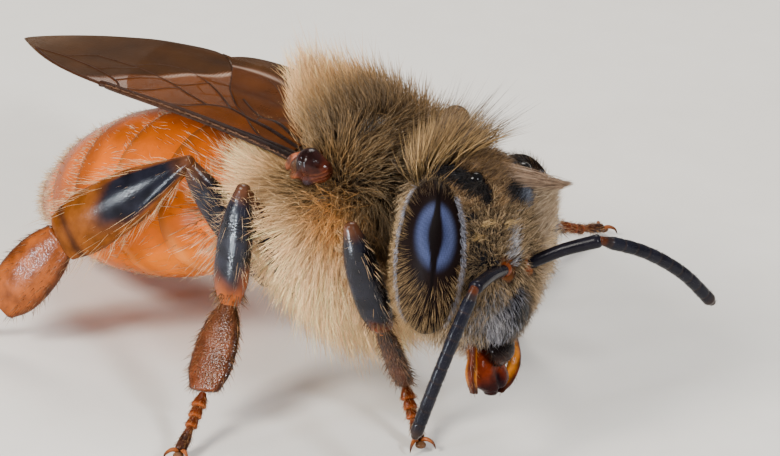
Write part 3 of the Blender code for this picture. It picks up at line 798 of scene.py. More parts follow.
def lashes_wanted(middle):
    """Everywhere on an eye but its painted reflection and the side that is sunk in the head."""
    facing, painted_reflection_edge = gaze_of(middle / EYE_HALF, side)[2:]
    # the lenses under the painted reflection are left bare of lashes
    on_painted_reflection = step(1.32, 1.02, painted_reflection_edge) * (facing > 0)
    return (1 - on_painted_reflection) * step(-0.5, -0.3, middle[:, 1] * side / EYE_HALF[1])


def border_wanted(middle):
    """A band down the rear of an eye and another down its front."""
    x, outward, z = (middle / EYE_HALF * (1, side, 1)).T
    rear = step(-0.52, -0.46, x) * step(-0.34, -0.40, x) * step(0.2, 0.4, outward)
    front = step(0.4, 0.6, x) * step(-0.40, -0.32, outward) * step(-0.10, -0.18, outward)
    return (rear + front) * step(0.93, 0.8, np.abs(z))


def lay_eye_hair(name, roots, aim, bend, length, thick, low, high):
    """Hairs given in an eye's own frame, laid on the model."""
    round_eye = np.arctan2(roots[:, 0], roots[:, 1] * side) / (2 * np.pi) + 0.5
    spot = np.stack([round_eye, roots[:, 2] / 2.8 + 0.5], 1)
    aim = aim @ eye_turn(side).T
    lay_hair(name, on_eye(roots, side), aim, bend, length, thick, low, high, spot, eye_hair)


eye_hair = hair_look("eye_hair", rough=0.5)
for side, word in SIDES:
    points, faces = loft(*ball(64, 48, EYE_HALF))
    roots, out = scatter(points, faces, LASHES, lashes_wanted)
    out = unit(roots / EYE_HALF**2)
    painted_reflection_middle = EYE_HALF * unit(np.multiply(GAZE, (1, side, 1))) * [1.0, 1.0, 0.6]
    away = laid_on(unit(roots - painted_reflection_middle), out)
    aim = unit(out + away * 0.95 + chance.normal(scale=0.06, size=(LASHES, 3)))
    height = roots[:, 2] / EYE_HALF[2]
    length = (0.14 + 0.11 * step(0.2, -0.8, height)) * (0.75 + 0.5 * chance.random(LASHES))
    bend = chance.normal(scale=0.04, size=(LASHES, 3))
    tone = mix([0.20, 0.105, 0.035], [0.95, 0.60, 0.26], chance.random(LASHES) ** 0.8)
    tone = tone * (1 - 0.6 * step(0.45, 0.8, height))[:, None]
    thick = 0.0018 * (0.8 + 0.4 * chance.random(LASHES))
    lay_eye_hair("eye_lashes_" + word, roots, aim, bend, length, thick, tone * 0.12, tone)

    roots, out = scatter(points * 1.006, faces, BORDER_HAIRS, border_wanted)
    out = unit(roots / EYE_HALF**2)
    down_way = laid_on(np.tile([0.0, 0.0, -1.0], (BORDER_HAIRS, 1)), out)
    aim = unit(out * 0.6 + down_way + chance.normal(scale=0.32, size=(BORDER_HAIRS, 3)))
    length = 0.085 * (0.6 + 0.8 * chance.random(BORDER_HAIRS))
    tone = mix([0.08, 0.08, 0.11], [0.66, 0.66, 0.76], chance.random(BORDER_HAIRS) ** 1.5)
    lay_eye_hair("eye_border_" + word, roots, aim, 0 * roots, length, 0.0036, tone * 0.5, tone)

# ---------------------------------------------------------------------------
# Brow lock. A combed sheaf of pinkish tan hairs that lies across the crown and
# comes to a point in front of the far eye, with a fan of looser hairs that rises
# to it from that side of the face.
# ---------------------------------------------------------------------------
LOCK_TIP = on_head((1.32, 1.04, 1.22))


def point_lock(name, count, wanted, spread, share, lift, tones):
    """Hairs that lean from where they grow towards the tip of the lock."""
    roots, out = scatter(head_points, head_faces, count, lambda middle: wanted(*from_head(middle).T))
    reach = LOCK_TIP + chance.normal(scale=spread, size=(count, 3)) - roots
    span = np.linalg.norm(reach, axis=1)
    length = np.minimum(span, 0.95) * share * (0.7 + 0.45 * chance.random(count))
    aim = unit(reach + out * lift * span[:, None])
    bend = unit(reach) - aim
    tone = mix(*tones, chance.random(count))
    thick = 0.0058 * (0.8 + 0.4 * chance.random(count))
    lay_hair(
        name, roots, aim, bend, length, thick, tone * 0.65, tone, spot_on_head(roots), face_hair,
        stages=(0.0, 0.35, 0.7),
    )


point_lock(
    "brow_lock", 900,
    lambda x, y, z: step(0.2, 0.4, x) * hump((z - 1.42 + 0.40 * (y + 0.1)) / 0.10)
    * step(-0.40, -0.12, y) * step(1.10, 0.85, y),
    spread=0.024, share=0.98, lift=0.26, tones=((0.14, 0.080, 0.045), (0.62, 0.42, 0.28)),
)
point_lock(
    "face_fan", 1100,
    lambda x, y, z: step(0.5, 0.65, x) * step(0.42, 0.60, y + 0.25 * (z - 0.3)) * step(0.0, 0.3, z)
    * step(1.2, 1.0, z),
    spread=0.10, share=0.62, lift=0.35, tones=((0.34, 0.23, 0.13), (0.72, 0.54, 0.36)),
)
comb_head(
    "side_fringe", 1100,
    lambda x, y, z: step(0.35, 0.5, x) * step(0.62, 0.85, y) * step(-1.3, -0.9, z) * step(0.9, 0.5, z),
    lambda x, y, z: (0.6, 0.8, 0.2 + 0.3 * z),
    lean=0.55, length=0.24, thick=0.0055, tones=((0.36, 0.25, 0.15), (0.70, 0.53, 0.36)),
    pull=0.6, ruffle=0.2,
)

# ---------------------------------------------------------------------------
# Mouthparts. Two jaws of amber horn, spoon shaped with dark rims, hung at the lower
# corners of the face; a small upper lip between them; and the folded tongue, a
# wet looking red brown lobe behind.
# ---------------------------------------------------------------------------
CAP_RINGS = np.radians([80, 55, 28])
ACROSS_HEAD = np.array([0.0, 1, 0]) @ HEAD_FRAME.T


def limb(knots, wide, thin, across, stations=24, around=20, blunt=0.6, square=1.0):
    """A rounded bar along a smooth line: half widths along it, and the way its broad side lies.

    It also gives each point's share of the length and its turn round the line.
    """
    line = curve_through(knots, stations)
    wide = curve_through(np.reshape(wide, (-1, 1)), stations)[:, 0]
    thin = curve_through(np.reshape(thin, (-1, 1)), stations)[:, 0]
    along = unit(np.gradient(line, axis=0))
    broad = unit(across - along * (along @ np.asarray(across, float))[:, None])
    narrow = np.cross(along, broad)
    end_first = min(wide[0], thin[0]) * blunt
    end_last = min(wide[-1], thin[-1]) * blunt
    start = line[0] - along[0] * end_first
    end = line[-1] + along[-1] * end_last
    middles = [line[0] - along[0] * end_first * c for c in np.sin(CAP_RINGS)] + list(line)
    middles += [line[-1] + along[-1] * end_last * c for c in np.sin(CAP_RINGS)[::-1]]
    caps = len(CAP_RINGS)
    pick = [0] * caps + list(range(stations)) + [stations - 1] * caps
    scale = np.concatenate([np.cos(CAP_RINGS), np.ones(stations), np.cos(CAP_RINGS)[::-1]])
    turn = 2 * np.pi * np.arange(around) / around
    broad_way, narrow_way = squared_round(turn, square)
    rings = (
        np.array(middles)[:, None]
        + broad[pick][:, None] * (wide[pick] * scale)[:, None, None] * broad_way[None, :, None]
        + narrow[pick][:, None] * (thin[pick] * scale)[:, None, None] * narrow_way[None, :, None]
    )
    points, faces = loft(rings, start, end)
    share = np.concatenate([np.zeros(caps), np.linspace(0, 1, stations), np.ones(caps)])
    share_at = np.concatenate([np.repeat(share, around), [0.0, 1.0]])
    turn_at = np.concatenate([np.tile(turn, len(share)), [0.0, 0.0]])
    return points, faces, share_at, turn_at


JAWS = {  # the line of each jaw in the head's frame, and its half widths along it
    -1: (((0.50, -0.50, -1.46), (0.60, -0.58, -1.78), (0.70, -0.74, -2.10), (0.78, -0.73, -2.38)),
         (0.20, 0.17, 0.13, 0.11)),
    1: (((0.52, 0.66, -1.46), (0.64, 0.80, -1.98), (0.74, 0.48, -2.32), (0.82, 0.06, -2.45)),
        (0.15, 0.13, 0.10, 0.09)),
}
JAW_THICK = (0.11, 0.08, 0.06, 0.03)
JAW_BRISTLES = 70
amber_horn = shell_look("amber_horn", rough=0.18, gleam=0.16, shade=(0.5, 1.5), patch=5200.0)
for side, word in SIDES:
    jaw_line, jaw_wide = JAWS[side]
    jaw_across = np.array([0.55, side, 0.2]) @ HEAD_FRAME.T
    points, faces, share, turn = limb(on_head(jaw_line), jaw_wide, JAW_THICK, jaw_across, 36, 32)
    hollow = 0.05 * step(0.3, 0.6, share) * hump(np.cos(turn) / 0.5) * np.sign(np.sin(turn))
    points = on_head(from_head(points) - np.stack([hollow, 0 * hollow, 0 * hollow], 1))
    rim = np.abs(np.cos(turn)) ** 3 * np.where(np.cos(turn) > 0, 1.0, 0.55)
    rim = np.clip(rim + 0.6 * step(0.1, 0.7, np.cos(turn)), 0, 1)
    tint = mix([0.46, 0.145, 0.008], [0.070, 0.012, 0.003], rim)
    tint = mix(tint, [0.035, 0.008, 0.003], step(0.66, 0.98, share))
    tint = mix(tint, [0.035, 0.009, 0.005], step(0.26, 0.04, share))
    piece("jaw_" + word, points, faces, amber_horn, tint, ("mandible_" + word,))
    jaw_way = unit(on_head(jaw_line[3]) - on_head(jaw_line[0]))
    roots, out = scatter(points, faces, JAW_BRISTLES)
    aim = unit(out * 0.8 + jaw_way + chance.normal(scale=0.2, size=(JAW_BRISTLES, 3)))
    tone = mix([0.16, 0.05, 0.015], [0.50, 0.24, 0.08], chance.random(JAW_BRISTLES))
    length = 0.05 + 0.05 * chance.random(JAW_BRISTLES)
    lay_hair("jaw_bristles_" + word, roots, aim, jaw_way * 0.3 + 0 * roots, length, 0.0036,
             tone * 0.6, tone, spot_on_head(roots), face_hair)

wet_horn = shell_look("wet_horn", rough=0.15, gleam=0.06, shade=(0.4, 1.6), patch=4200.0, depth=8e-6)
LIP_LINE = ((0.66, 0, -1.50), (0.84, -0.04, -1.64), (0.90, -0.03, -1.80), (0.84, -0.02, -1.94))
LIP_WIDE = (0.46, 0.42, 0.34, 0.20)
LIP_THICK = (0.10, 0.10, 0.09, 0.06)
LIP_HAIRS = 260
points, faces, share, turn = limb(on_head(LIP_LINE), LIP_WIDE, LIP_THICK, ACROSS_HEAD, 20, 32)
tint = mix([0.005, 0.003, 0.003], [0.026, 0.006, 0.002], step(0.4, 1.0, share))
piece("upper_lip", points, faces, wet_horn, tint, ("labrum",))
roots, out = scatter(points, faces, LIP_HAIRS)
tone = mix([0.010, 0.006, 0.004], [0.16, 0.09, 0.05], chance.random(LIP_HAIRS) ** 2)
aim = out + np.array([0.2, 0, -1.0]) + chance.normal(scale=0.25, size=(LIP_HAIRS, 3))
length = 0.07 + 0.06 * chance.random(LIP_HAIRS)
lay_hair("lip_hair", roots, aim, 0 * roots, length, 0.0036, tone * 0.6, tone, spot_on_head(roots), face_hair)

TONGUE_LINE = ((0.40, -0.05, -1.60), (0.54, -0.06, -1.96), (0.66, 0.00, -2.26), (0.68, 0.03, -2.44))
TONGUE_WIDE = (0.34, 0.40, 0.40, 0.20)
TONGUE_THICK = (0.20, 0.26, 0.26, 0.16)
points, faces, share, turn = limb(on_head(TONGUE_LINE), TONGUE_WIDE, TONGUE_THICK, ACROSS_HEAD, 34, 40)
crease = hump((np.cos(turn) + 0.45 - 0.35 * share) / 0.16) * step(0.30, 0.7, share)
lump = 0.030 * np.sin(9 * share + 2.0 * np.cos(turn)) - 0.04 * crease
points = on_head(from_head(points) + np.stack([lump, 0.3 * lump * np.sign(np.cos(turn)), 0 * lump], 1))
# painted shade: the crease is painted darker; the lobe is also darker towards its lower end
darkened = np.clip(0.7 * crease + 0.9 * step(0.40, 0.8, share), 0, 1)
tint = mix([0.130, 0.016, 0.003], [0.010, 0.003, 0.004], darkened)
piece("tongue", points, faces, wet_horn, tint, ("proboscis",))

# ---------------------------------------------------------------------------
# Feelers. A bead in the face pit, a long first joint, a short elbow and ten equal
# rings, all of black horn that shines blue, with brown at the root. Each ring
# bulges a little and is set in the one before.
# ---------------------------------------------------------------------------
FEELERS = {  # elbow, tip, and the bow of the whip between them
    -1: ((4.40, -1.71, 0.27), (3.90, -2.66, -2.43), (0.10, -0.12, 0.10)),
    1: ((4.82, 0.98, 0.42), (5.48, 3.21, -1.31), (0.10, 0.10, 0.22)),
}
STEM_HALF = (0.070, 0.105, 0.115, 0.125)
WHIP_RINGS = 10
WHIP_HALF = [0.116] * 4
WHIP_STATIONS = 150
WHIP_ROUND = 22
WHIP_HAIRS = 420
ELBOW_SHARE = 0.075
UP = np.array([0, 0, 1])
feeler_horn = shell_look("feeler_horn", 0.22, 0.13, (0.75, 1.35), patch=4000.0, grain=70000.0, depth=2e-6)
for side, word in SIDES:
    elbow, tip, bow = np.array(FEELERS[side])
    socket = on_head((0.98, side * 0.36, -0.20))
    bead, faces = loft(*ball(24, 14, 0.135))
    bead = bead + on_head((0.97, side * 0.36, -0.20))
    piece("feeler_bead_" + word, bead, faces, amber_horn, [0.16, 0.035, 0.008])

    middle = (socket + elbow) / 2 + 0.05 * UP
    knots = [socket, socket * 0.85 + middle * 0.15, middle, elbow * 0.97 + socket * 0.03]
    points, faces, share, turn = limb(knots, STEM_HALF, STEM_HALF, UP, stations=40, around=24)
    tint = mix([0.15, 0.034, 0.008], [0.007, 0.006, 0.010], step(0.05, 0.32, share))
    stem_node = "antenna_scape_" + word
    piece("feeler_stem_" + word, points, faces, feeler_horn, tint, (stem_node,))

    knots = [elbow, elbow * 0.67 + tip * 0.33 + bow * 0.8, elbow * 0.33 + tip * 0.67 + bow * 0.8, tip]
    points, faces, share, turn = limb(knots, WHIP_HALF, WHIP_HALF, UP, WHIP_STATIONS, WHIP_ROUND)
    along_whip = np.clip((share - ELBOW_SHARE) / (1 - ELBOW_SHARE), 0, 1) * WHIP_RINGS
    part = along_whip - np.floor(np.minimum(along_whip, WHIP_RINGS - 1e-6))
    groove = hump(np.minimum(part, 1 - part) / 0.055) * step(0.0, 0.02, 0.995 - share)
    swell = 1 - 0.06 * groove + 0.02 * np.sin(np.pi * part)
    thin_root = 0.74 + 0.26 * step(0.0, 0.10, share)
    blunt_tip = 1 - 0.35 * step(0.965, 1.0, share)
    line = curve_through(knots, WHIP_STATIONS)
    nearest = np.rint(share * (WHIP_STATIONS - 1)).astype(int)
    points = line[nearest] + (points - line[nearest]) * (swell * thin_root * blunt_tip)[:, None]
    tint = mix([0.008, 0.008, 0.013], [0.030, 0.017, 0.012], 0.5 * groove)
    tint = mix(tint, [0.06, 0.016, 0.006], step(0.05, 0.02, share))
    tint = mix(tint, [0.05, 0.028, 0.018], 0.6 * step(0.9, 1.0, share))
    whip_node = "antenna_flagellum_" + word
    piece("feeler_whip_" + word, points, faces, feeler_horn, tint, (whip_node,))

    roots, out = scatter(points, faces, WHIP_HAIRS)
    way = unit(tip - elbow)
    aim = unit(out + way * 1.2 + chance.normal(scale=0.2, size=(WHIP_HAIRS, 3)))
    along_unwrap = np.clip((roots - elbow) @ way / 3.4, 0, 1)
    spot = np.stack([np.arctan2(out[:, 1], out[:, 0]) / 6.3 + 0.5, along_unwrap], 1)
    length = 0.030 + 0.02 * chance.random(WHIP_HAIRS)
    tone = np.tile([0.018, 0.016, 0.020], (WHIP_HAIRS, 1))
    lay_hair("feeler_down_" + word, roots, aim, way * 0.2 + 0 * roots, length, 0.0024,
             tone, tone * 1.4, spot, face_hair)

# ---------------------------------------------------------------------------
# Wing hinges. At each wing root a smooth red brown scale covers the joint, with
# two small horn straps beneath it that the wing veins plug into.
# ---------------------------------------------------------------------------
HINGE = np.array([0.42, 1.73, 1.25])
LEFT_HINGE_DROP = 0.32
SCALE_HALF = np.array([0.47, 0.24, 0.30])
SCALE_LEAN = np.array(Euler((math.radians(-32), math.radians(-16), 0)).to_matrix())
HINGE_STRAPS = (  # line of the strap from the middle of the scale, half widths, how dark root and end are
    (((-0.16, 0.06, 0.24), (-0.36, 0.10, 0.10), (-0.52, 0.06, -0.08), (-0.64, -0.02, -0.20)),
     (0.06, 0.09, 0.085, 0.06), (0.0, 1.0)),
    (((-0.18, 0.06, -0.06), (-0.32, 0.08, -0.14), (-0.46, 0.02, -0.26), (-0.54, -0.06, -0.34)),
     (0.05, 0.07, 0.07, 0.04), (0.7, 0.7)),
)
hinge_horn = shell_look("hinge_horn", rough=0.16, gleam=0.15, shade=(0.30, 1.8), patch=5200.0, depth=5e-6)
for side, word in SIDES:
    flip = np.array([1, side, 1])
    hinge = HINGE - (0, 0, LEFT_HINGE_DROP * (side > 0))
    points, faces = loft(*ball(88, 60))
    x, y, z = points.T
    outer = step(0.0, 0.4, y)
    dome = hump(np.hypot(x - 0.02, z + 0.22) / 0.30) * outer
    ribs = np.sin(24 * z + 6 * x) * step(0.22, 0.42, x) * step(0.45, 0.2, z) * outer
    band = hump((z - 0.10 - 0.75 * (x + 0.45)) / 0.16) * step(-0.02, -0.25, x) * outer
    peak = step(0.1, 0.9, z) * hump((x - 0.22) / 0.40)
    notch = hump((x + 0.16 - 0.4 * z) / 0.07) * outer
    swell = 1 + 0.34 * dome + 0.018 * ribs + 0.26 * band + 0.45 * peak - 0.14 * notch
    points = (points * swell[:, None] * SCALE_HALF @ SCALE_LEAN.T + hinge) * flip
    tint = mix([0.036, 0.007, 0.003], [0.008, 0.003, 0.004], step(0.25, 0.7, dome))
    tint = mix(tint, [0.070, 0.018, 0.006], 0.8 * step(0.1, 0.8, ribs))
    tint = mix(tint, [0.100, 0.027, 0.010], 0.9 * step(0.3, 0.9, band))
    tint = mix(tint, [0.010, 0.004, 0.004], 0.85 * step(0.40, 0.75, z))
    scale_node = "tegula_" + word
    piece("hinge_scale_" + word, points, faces, hinge_horn, tint, (scale_node,))
    for k, (strap, wide, (root_dark, end_dark)) in enumerate(HINGE_STRAPS):
        points, faces, share, turn = limb((hinge + strap) * flip, wide, np.array(wide) * 0.7, UP)
        darkened = root_dark + (end_dark - root_dark) * step(0.45, 1.0, share)
        tint = mix([0.16, 0.045, 0.020], [0.016, 0.006, 0.005], darkened)
        strap_name = "hinge_strap_%s_%d" % (word, k + 1)
        piece(strap_name, points, faces, hinge_horn, tint)

# ---------------------------------------------------------------------------
# Wings. Two pairs of clear smoky skins a few hundredths of a millimetre thick,
# stretched over dark horn veins. The hind wing is hooked along the rear fold of
# the fore wing, and all four lie folded back over the abdomen.
# ---------------------------------------------------------------------------
FOREWING = 9.2
FULL_CHORD = 2.62
SKIN_HALF = 0.012
VEIN_ROUND = 10
SPAR_BRISTLES = 500


class Wing:
    """The fore and hind wing of one side, hooked together and folded back in one plane."""

    def __init__(self, root, tip, across, spread, twist, bow, bias):
        # spread is how far the hind wing fans out and twist the roll at the root in radians; the front
        # edge bows by bow, the nearer the tip the greater its bias
        self.spread, self.twist, self.bow, self.bias = spread, twist, bow, bias
        self.root = np.array(root, float)
        self.along = unit(np.subtract(tip, root))
        across = np.asarray(across, float)
        self.across = unit(across - self.along * (across @ self.along))
        self.up = np.cross(self.along, self.across)
        self.up = self.up if self.up[2] > 0 else -self.up

    def fan(self, share):
        """How much further back the hind wing reaches where it is spread."""
        return self.spread * np.abs(np.sin(np.pi * np.clip((share - 0.02) / 0.58, 0, 1))) ** 0.8

    def chord(self, share):
        """How far back both wings reach together."""
        share = np.clip(share, 0, 1)
        folded = FULL_CHORD * np.abs(np.sin(np.pi * share**1.5)) ** 0.8 + 0.50 * (1 - share) ** 6
        return folded + self.fan(share)

    def behind_hooks(self, share):
        """How far the hind wing stands out behind the fore wing."""
        part = np.clip((share - 0.06) / 0.58, 0, 1)
        folded = (0.50 + 0.36 * np.sin(np.pi * part)) * step(0.03, 0.07, share) * step(0.66, 0.42, share)
        return folded + self.fan(share)

    def at(self, share, back, lift=0.0):
        """The place at a share of the length, so far back from the front edge and lifted off the plane."""
        pleat = 0.045 * np.cos(back * 9.0) * step(0.95, 0.1, share) + 0.06 * np.sin(np.pi * share)
        roll = self.twist * step(0.30, 0.03, share)
        bow = self.bow * np.sin(np.pi * np.clip(share, 0, 1) ** self.bias)
        return (
            self.root
            + np.asarray(share)[..., None] * FOREWING * self.along
            + (back * np.cos(roll) - bow)[..., None] * self.across
            + (back * np.sin(roll) + pleat + lift)[..., None] * self.up
        )


def wing_skin(wing, shares, front, back, columns):
    """A thin closed skin between two edges, given as distances back from the front edge."""
    rings = []
    bands = np.linspace(0, 1, columns)
    for share, a, b in zip(shares, front, back):
        out = a + (b - a) * bands
        upper = wing.at(np.full(columns, share), out, SKIN_HALF)
        lower = wing.at(np.full(columns, share), out, -SKIN_HALF)
        rings.append(np.concatenate([upper, lower[::-1]]))
    start = wing.at(shares[0] - 0.002, (front[0] + back[0]) / 2)
    end = wing.at(shares[-1] + 0.002, (front[-1] + back[-1]) / 2)
    points, faces = loft(rings, start, end)
    share = np.concatenate([np.repeat(shares, 2 * columns), [shares[0], shares[-1]]])
    ring_bands = np.concatenate([bands, bands[::-1]])
    out = (front[:, None] + (back - front)[:, None] * ring_bands).ravel()
    return points, faces, share, np.append(out, [0, 0])


def vein(wing, knots, thick_first, thick_last):
    """A round vein along knots on the wing, with each point's share of the wing's length."""
    knots = np.array(knots, float)
    line = curve_through(knots, 10 * len(knots)) if len(knots) > 2 else np.linspace(*knots, 10)
    path = wing.at(line[:, 0], line[:, 1])
    half = np.linspace(thick_first, thick_last, len(path))[:, None, None]
    along = unit(np.gradient(path, axis=0))
    broad = unit(np.cross(along, wing.up))[:, None]
    turn = 2 * np.pi * np.arange(VEIN_ROUND)[None, :, None] / VEIN_ROUND
    rings = path[:, None] + half * (broad * np.cos(turn) + wing.up * 0.8 * np.sin(turn))
    start = path[0] - along[0] * thick_first * 0.5
    end = path[-1] + along[-1] * thick_last * 0.5
    return *loft(rings, start, end), np.append(np.repeat(line[:, 0], VEIN_ROUND), line[[0, -1], 0])


def joined(parts):
    """The points, faces and tints of several skins, as those of one mesh."""
    points, faces, tints = [], [], []
    begun = 0
    for part_points, part_faces, part_tint in parts:
        points.append(part_points)
        faces += [[begun + i for i in face] for face in part_faces]
        tints.append(np.broadcast_to(part_tint, part_points.shape))
        begun += len(part_points)
    return np.concatenate(points), faces, np.concatenate(tints)


nodes, links, skin, place, tint_in = tinted_look("smoky_skin")
clouds = noise(nodes, links, place, 1400.0, 6.0)
colour_skin(nodes, links, skin, tint_in, carry(nodes, links, clouds, (0.3, 0.7), (0.75, 1.25)))
emboss(nodes, links, skin, cells(nodes, links, place, 22000.0), 0.5, 4e-6)
links.new(tint_in.outputs["Alpha"], skin.inputs["Alpha"])
skin.inputs["Roughness"].default_value = 0.45
skin.inputs["Specular IOR Level"].default_value = 0.04
smoky_skin = bpy.data.materials["smoky_skin"]
vein_horn = shell_look("vein_horn", rough=0.30, gleam=0.12, shade=(0.7, 1.4), patch=3000.0)

WINGS = {
    "right": Wing(
        RIGHT_WING_ROOT, RIGHT_WING_TIP, RIGHT_WING_ACROSS,
        spread=0.90, twist=0.55, bow=0.44, bias=2.2,
    ),
    "left": Wing(
        (0.10, 1.52, 0.72), (-8.80, 3.40, -0.68), (0.1, -1.0, 0.03),
        spread=0.0, twist=0.30, bow=0.22, bias=1.0,
    ),
}
FORE_VEINS = (  # shares of the length and distances back from the front edge, then both half thicknesses
    ("spar", ((0.0, 0.05), (0.12, 0.05), (0.3, 0.04), (0.48, 0.03), (0.6, 0.03), (0.63, 0.04)), 0.09, 0.072),
    ("second_spar", ((0.0, 0.17), (0.12, 0.17), (0.30, 0.15), (0.46, 0.13), (0.57, 0.09)), 0.075, 0.052),
    ("stigma", ((0.565, 0.08), (0.59, 0.10), (0.625, 0.09), (0.65, 0.04)), 0.045, 0.075),
    ("edge_beyond", ((0.62, 0.03), (0.75, 0.03), (0.87, 0.04), (0.93, 0.06)), 0.035, 0.028),
    ("long_cell", ((0.60, 0.10), (0.65, 0.36), (0.74, 0.46), (0.84, 0.36), (0.93, 0.06)), 0.026, 0.022),
    ("stem", ((0.01, 0.30), (0.12, 0.42), (0.24, 0.60), (0.35, 0.76)), 0.045, 0.034),
    ("rising_branch", ((0.35, 0.76), (0.41, 0.56), (0.47, 0.18)), 0.030, 0.028),
    ("middle_branch", ((0.40, 0.60), (0.48, 0.74), (0.57, 0.98), (0.68, 1.06), (0.8, 0.88)), 0.028, 0.02),
    ("cell_wall_1", ((0.52, 0.84), (0.55, 0.50), (0.60, 0.16)), 0.022, 0.022),
    ("cell_wall_2", ((0.60, 1.02), (0.655, 0.36)), 0.020, 0.020),
    ("cell_wall_3", ((0.68, 1.06), (0.735, 0.46)), 0.020, 0.020),
    ("cell_wall_4", ((0.80, 0.88), (0.845, 0.36)), 0.020, 0.020),
    ("rear_branch", ((0.35, 0.76), (0.42, 1.10), (0.50, 1.36), (0.60, 1.62)), 0.030, 0.016),
    ("return_1", ((0.55, 0.94), (0.50, 1.36)), 0.020, 0.020),
    ("return_2", ((0.70, 1.06), (0.66, 1.42), (0.60, 1.62)), 0.020, 0.018),
    ("rear_fold", ((0.01, 0.40), (0.10, 0.50), (0.20, 0.72), (0.30, 1.00), (0.38, 1.26)), 0.038, 0.026),
    ("fold_link", ((0.25, 0.62), (0.28, 0.94)), 0.022, 0.022),
    ("outer_ray", ((0.60, 1.62), (0.64, 1.78)), 0.016, 0.008),
)
for word, wing in WINGS.items():
    # only the right wing carries painted light: a pale streak along its fold, a painted highlight, and
    # painted shade beyond it, darker and more opaque
    painted_on_right = float(word == "right")
    shares = np.concatenate([np.linspace(0.0, 0.9, 150), np.linspace(0.91, 0.997, 16)])
    fore_back = np.maximum(wing.chord(shares) - wing.behind_hooks(shares), 0.02)
    points, faces, share, out = wing_skin(wing, shares, 0 * shares, fore_back, 50)
    past_fold = out - 2.44 + (share - 0.484) * 10.7
    # painted shade: beyond the fold the right wing is painted darker and made more opaque
    beyond = painted_on_right * step(-0.10, 0.14, past_fold)
    tint = mix([0.125, 0.033, 0.004], [0.044, 0.017, 0.005], beyond)
    tint = mix(tint, [0.070, 0.016, 0.003], step(0.42, 0.12, share))
    tint = mix(tint, [0.10, 0.045, 0.014], 0.5 * step(0.80, 1.0, share))
    # painted highlight: a pale streak along the fold
    streak = painted_on_right * hump((past_fold + 0.12) / 0.07) * step(0.64, 0.57, share)
    tint = mix(tint, [0.62, 0.46, 0.36], 0.75 * streak)
    cover = 0.60 + 0.30 * beyond - 0.10 * step(0.86, 1.0, share)
    cover = np.maximum(cover, 0.60 + 0.28 * step(0.48, 0.20, share))
    fore_node = "forewing_" + word
    piece("forewing_skin_" + word, points, faces, smoky_skin, tint, (fore_node,), cover)

    shares = np.linspace(0.065, 0.63, 120)
    whole = wing.chord(shares)
    hind_front = np.maximum(whole - wing.behind_hooks(shares), 0.0) + 0.02
    points, faces, share, out = wing_skin(wing, shares, hind_front, whole, 34)
    fold_in = wing.chord(share) - out
    tint = mix([0.075, 0.022, 0.005], [0.050, 0.020, 0.006], step(0.50, 0.35, fold_in))
    # painted highlight: a pale line along the fold of the hind wing
    tint = mix(tint, [0.50, 0.36, 0.28], 0.6 * hump((fold_in - 0.52) / 0.05) * step(0.34, 0.44, share))
    hind_node = "hindwing_" + word
    piece("hindwing_skin_" + word, points, faces, smoky_skin, tint, (hind_node,), 0.88)

    rail = [(s, wing.chord(s) - wing.behind_hooks(s) + 0.01) for s in (0.08, 0.2, 0.32, 0.44, 0.54, 0.61)]
    ray = [(s, wing.chord(s) - 0.45 * wing.behind_hooks(s)) for s in (0.09, 0.22, 0.36, 0.50)]
    veins = []
    for name, knots, thick_first, thick_last in (
        *FORE_VEINS, ("hook_rail", rail, 0.022, 0.014), ("hind_ray", ray, 0.024, 0.014)
    ):
        points, faces, share = vein(wing, knots, thick_first, thick_last)
        tone = mix([0.010, 0.005, 0.004], [0.034, 0.012, 0.005], step(0.05, 0.6, share))
        # painted highlight: the spars of the left wing turn pale outward, a streak seen through the right
        # wing
        if "spar" in name and word == "left":
            tone = mix(tone, [0.42, 0.27, 0.22], step(0.3, 0.5, share))
        veins.append((points, faces, tone))
    points, faces, tint = joined(veins)
    piece("wing_veins_" + word, points, faces, vein_horn, tint)

    # stiff bristles stand along the front spar
    share = chance.random(SPAR_BRISTLES) * 0.62
    roots = wing.at(share, np.zeros(SPAR_BRISTLES)) + wing.up * 0.03
    ruffle = chance.normal(scale=0.2, size=(SPAR_BRISTLES, 3))
    aim = unit(wing.along - wing.across * 0.8 + wing.up * 0.35 + ruffle)
    tone = np.tile([0.10, 0.045, 0.02], (SPAR_BRISTLES, 1))
    length = 0.07 + 0.04 * chance.random(SPAR_BRISTLES)
    spot = np.stack([share, share * 0], 1)
    lay_hair("spar_bristles_" + word, roots, aim, 0 * roots, length, 0.006, tone, tone * 1.6, spot, face_hair)

# ---------------------------------------------------------------------------
# Abdomen. Six horn rings that telescope, each with its rear rim over the front of
# the next, of orange horn with darker rear bands. Soft down covers the first and
# pale bands of felt lie at the fronts of the others.
# ---------------------------------------------------------------------------
ABDOMEN = (  # along X, height, half height
    (-1.95, -0.70, 0.34),
    (-2.25, -0.78, 0.78),
    (-2.60, -0.88, 1.06),
    (-3.20, -1.05, 1.36),
    (-4.20, -1.32, 1.55),
    (-5.20, -1.60, 1.57),
    (-6.20, -1.93, 1.40),
    (-7.10, -2.27, 1.04),
    (-7.85, -2.60, 0.62),
    (-8.26, -2.82, 0.30),
    (-8.42, -2.90, 0.08),
)
ABDOMEN_SIDE = 1.20
RING_STARTS = (0.0, 0.235, 0.405, 0.565, 0.715, 0.855, 1.0)
RING_DARKNESS = (0.25, 0.32, 0.40, 0.50, 0.65, 0.8)
RING_ROUND = 112
LAST_RING = 5
BAND_BROWN = np.array([0.085, 0.024, 0.008])
abdomen_line = curve_through(ABDOMEN, 400)
steps_along = np.linalg.norm(np.diff(abdomen_line[:, :2], axis=0), axis=1)
abdomen_run = np.concatenate([[0], np.cumsum(steps_along)])
abdomen_run /= abdomen_run[-1]


def abdomen_at(share, columns):
    """The first columns of the abdomen's line at a share of its run."""
    return [np.interp(np.clip(share, 0, 1), abdomen_run, abdomen_line[:, k]) for k in range(columns)]


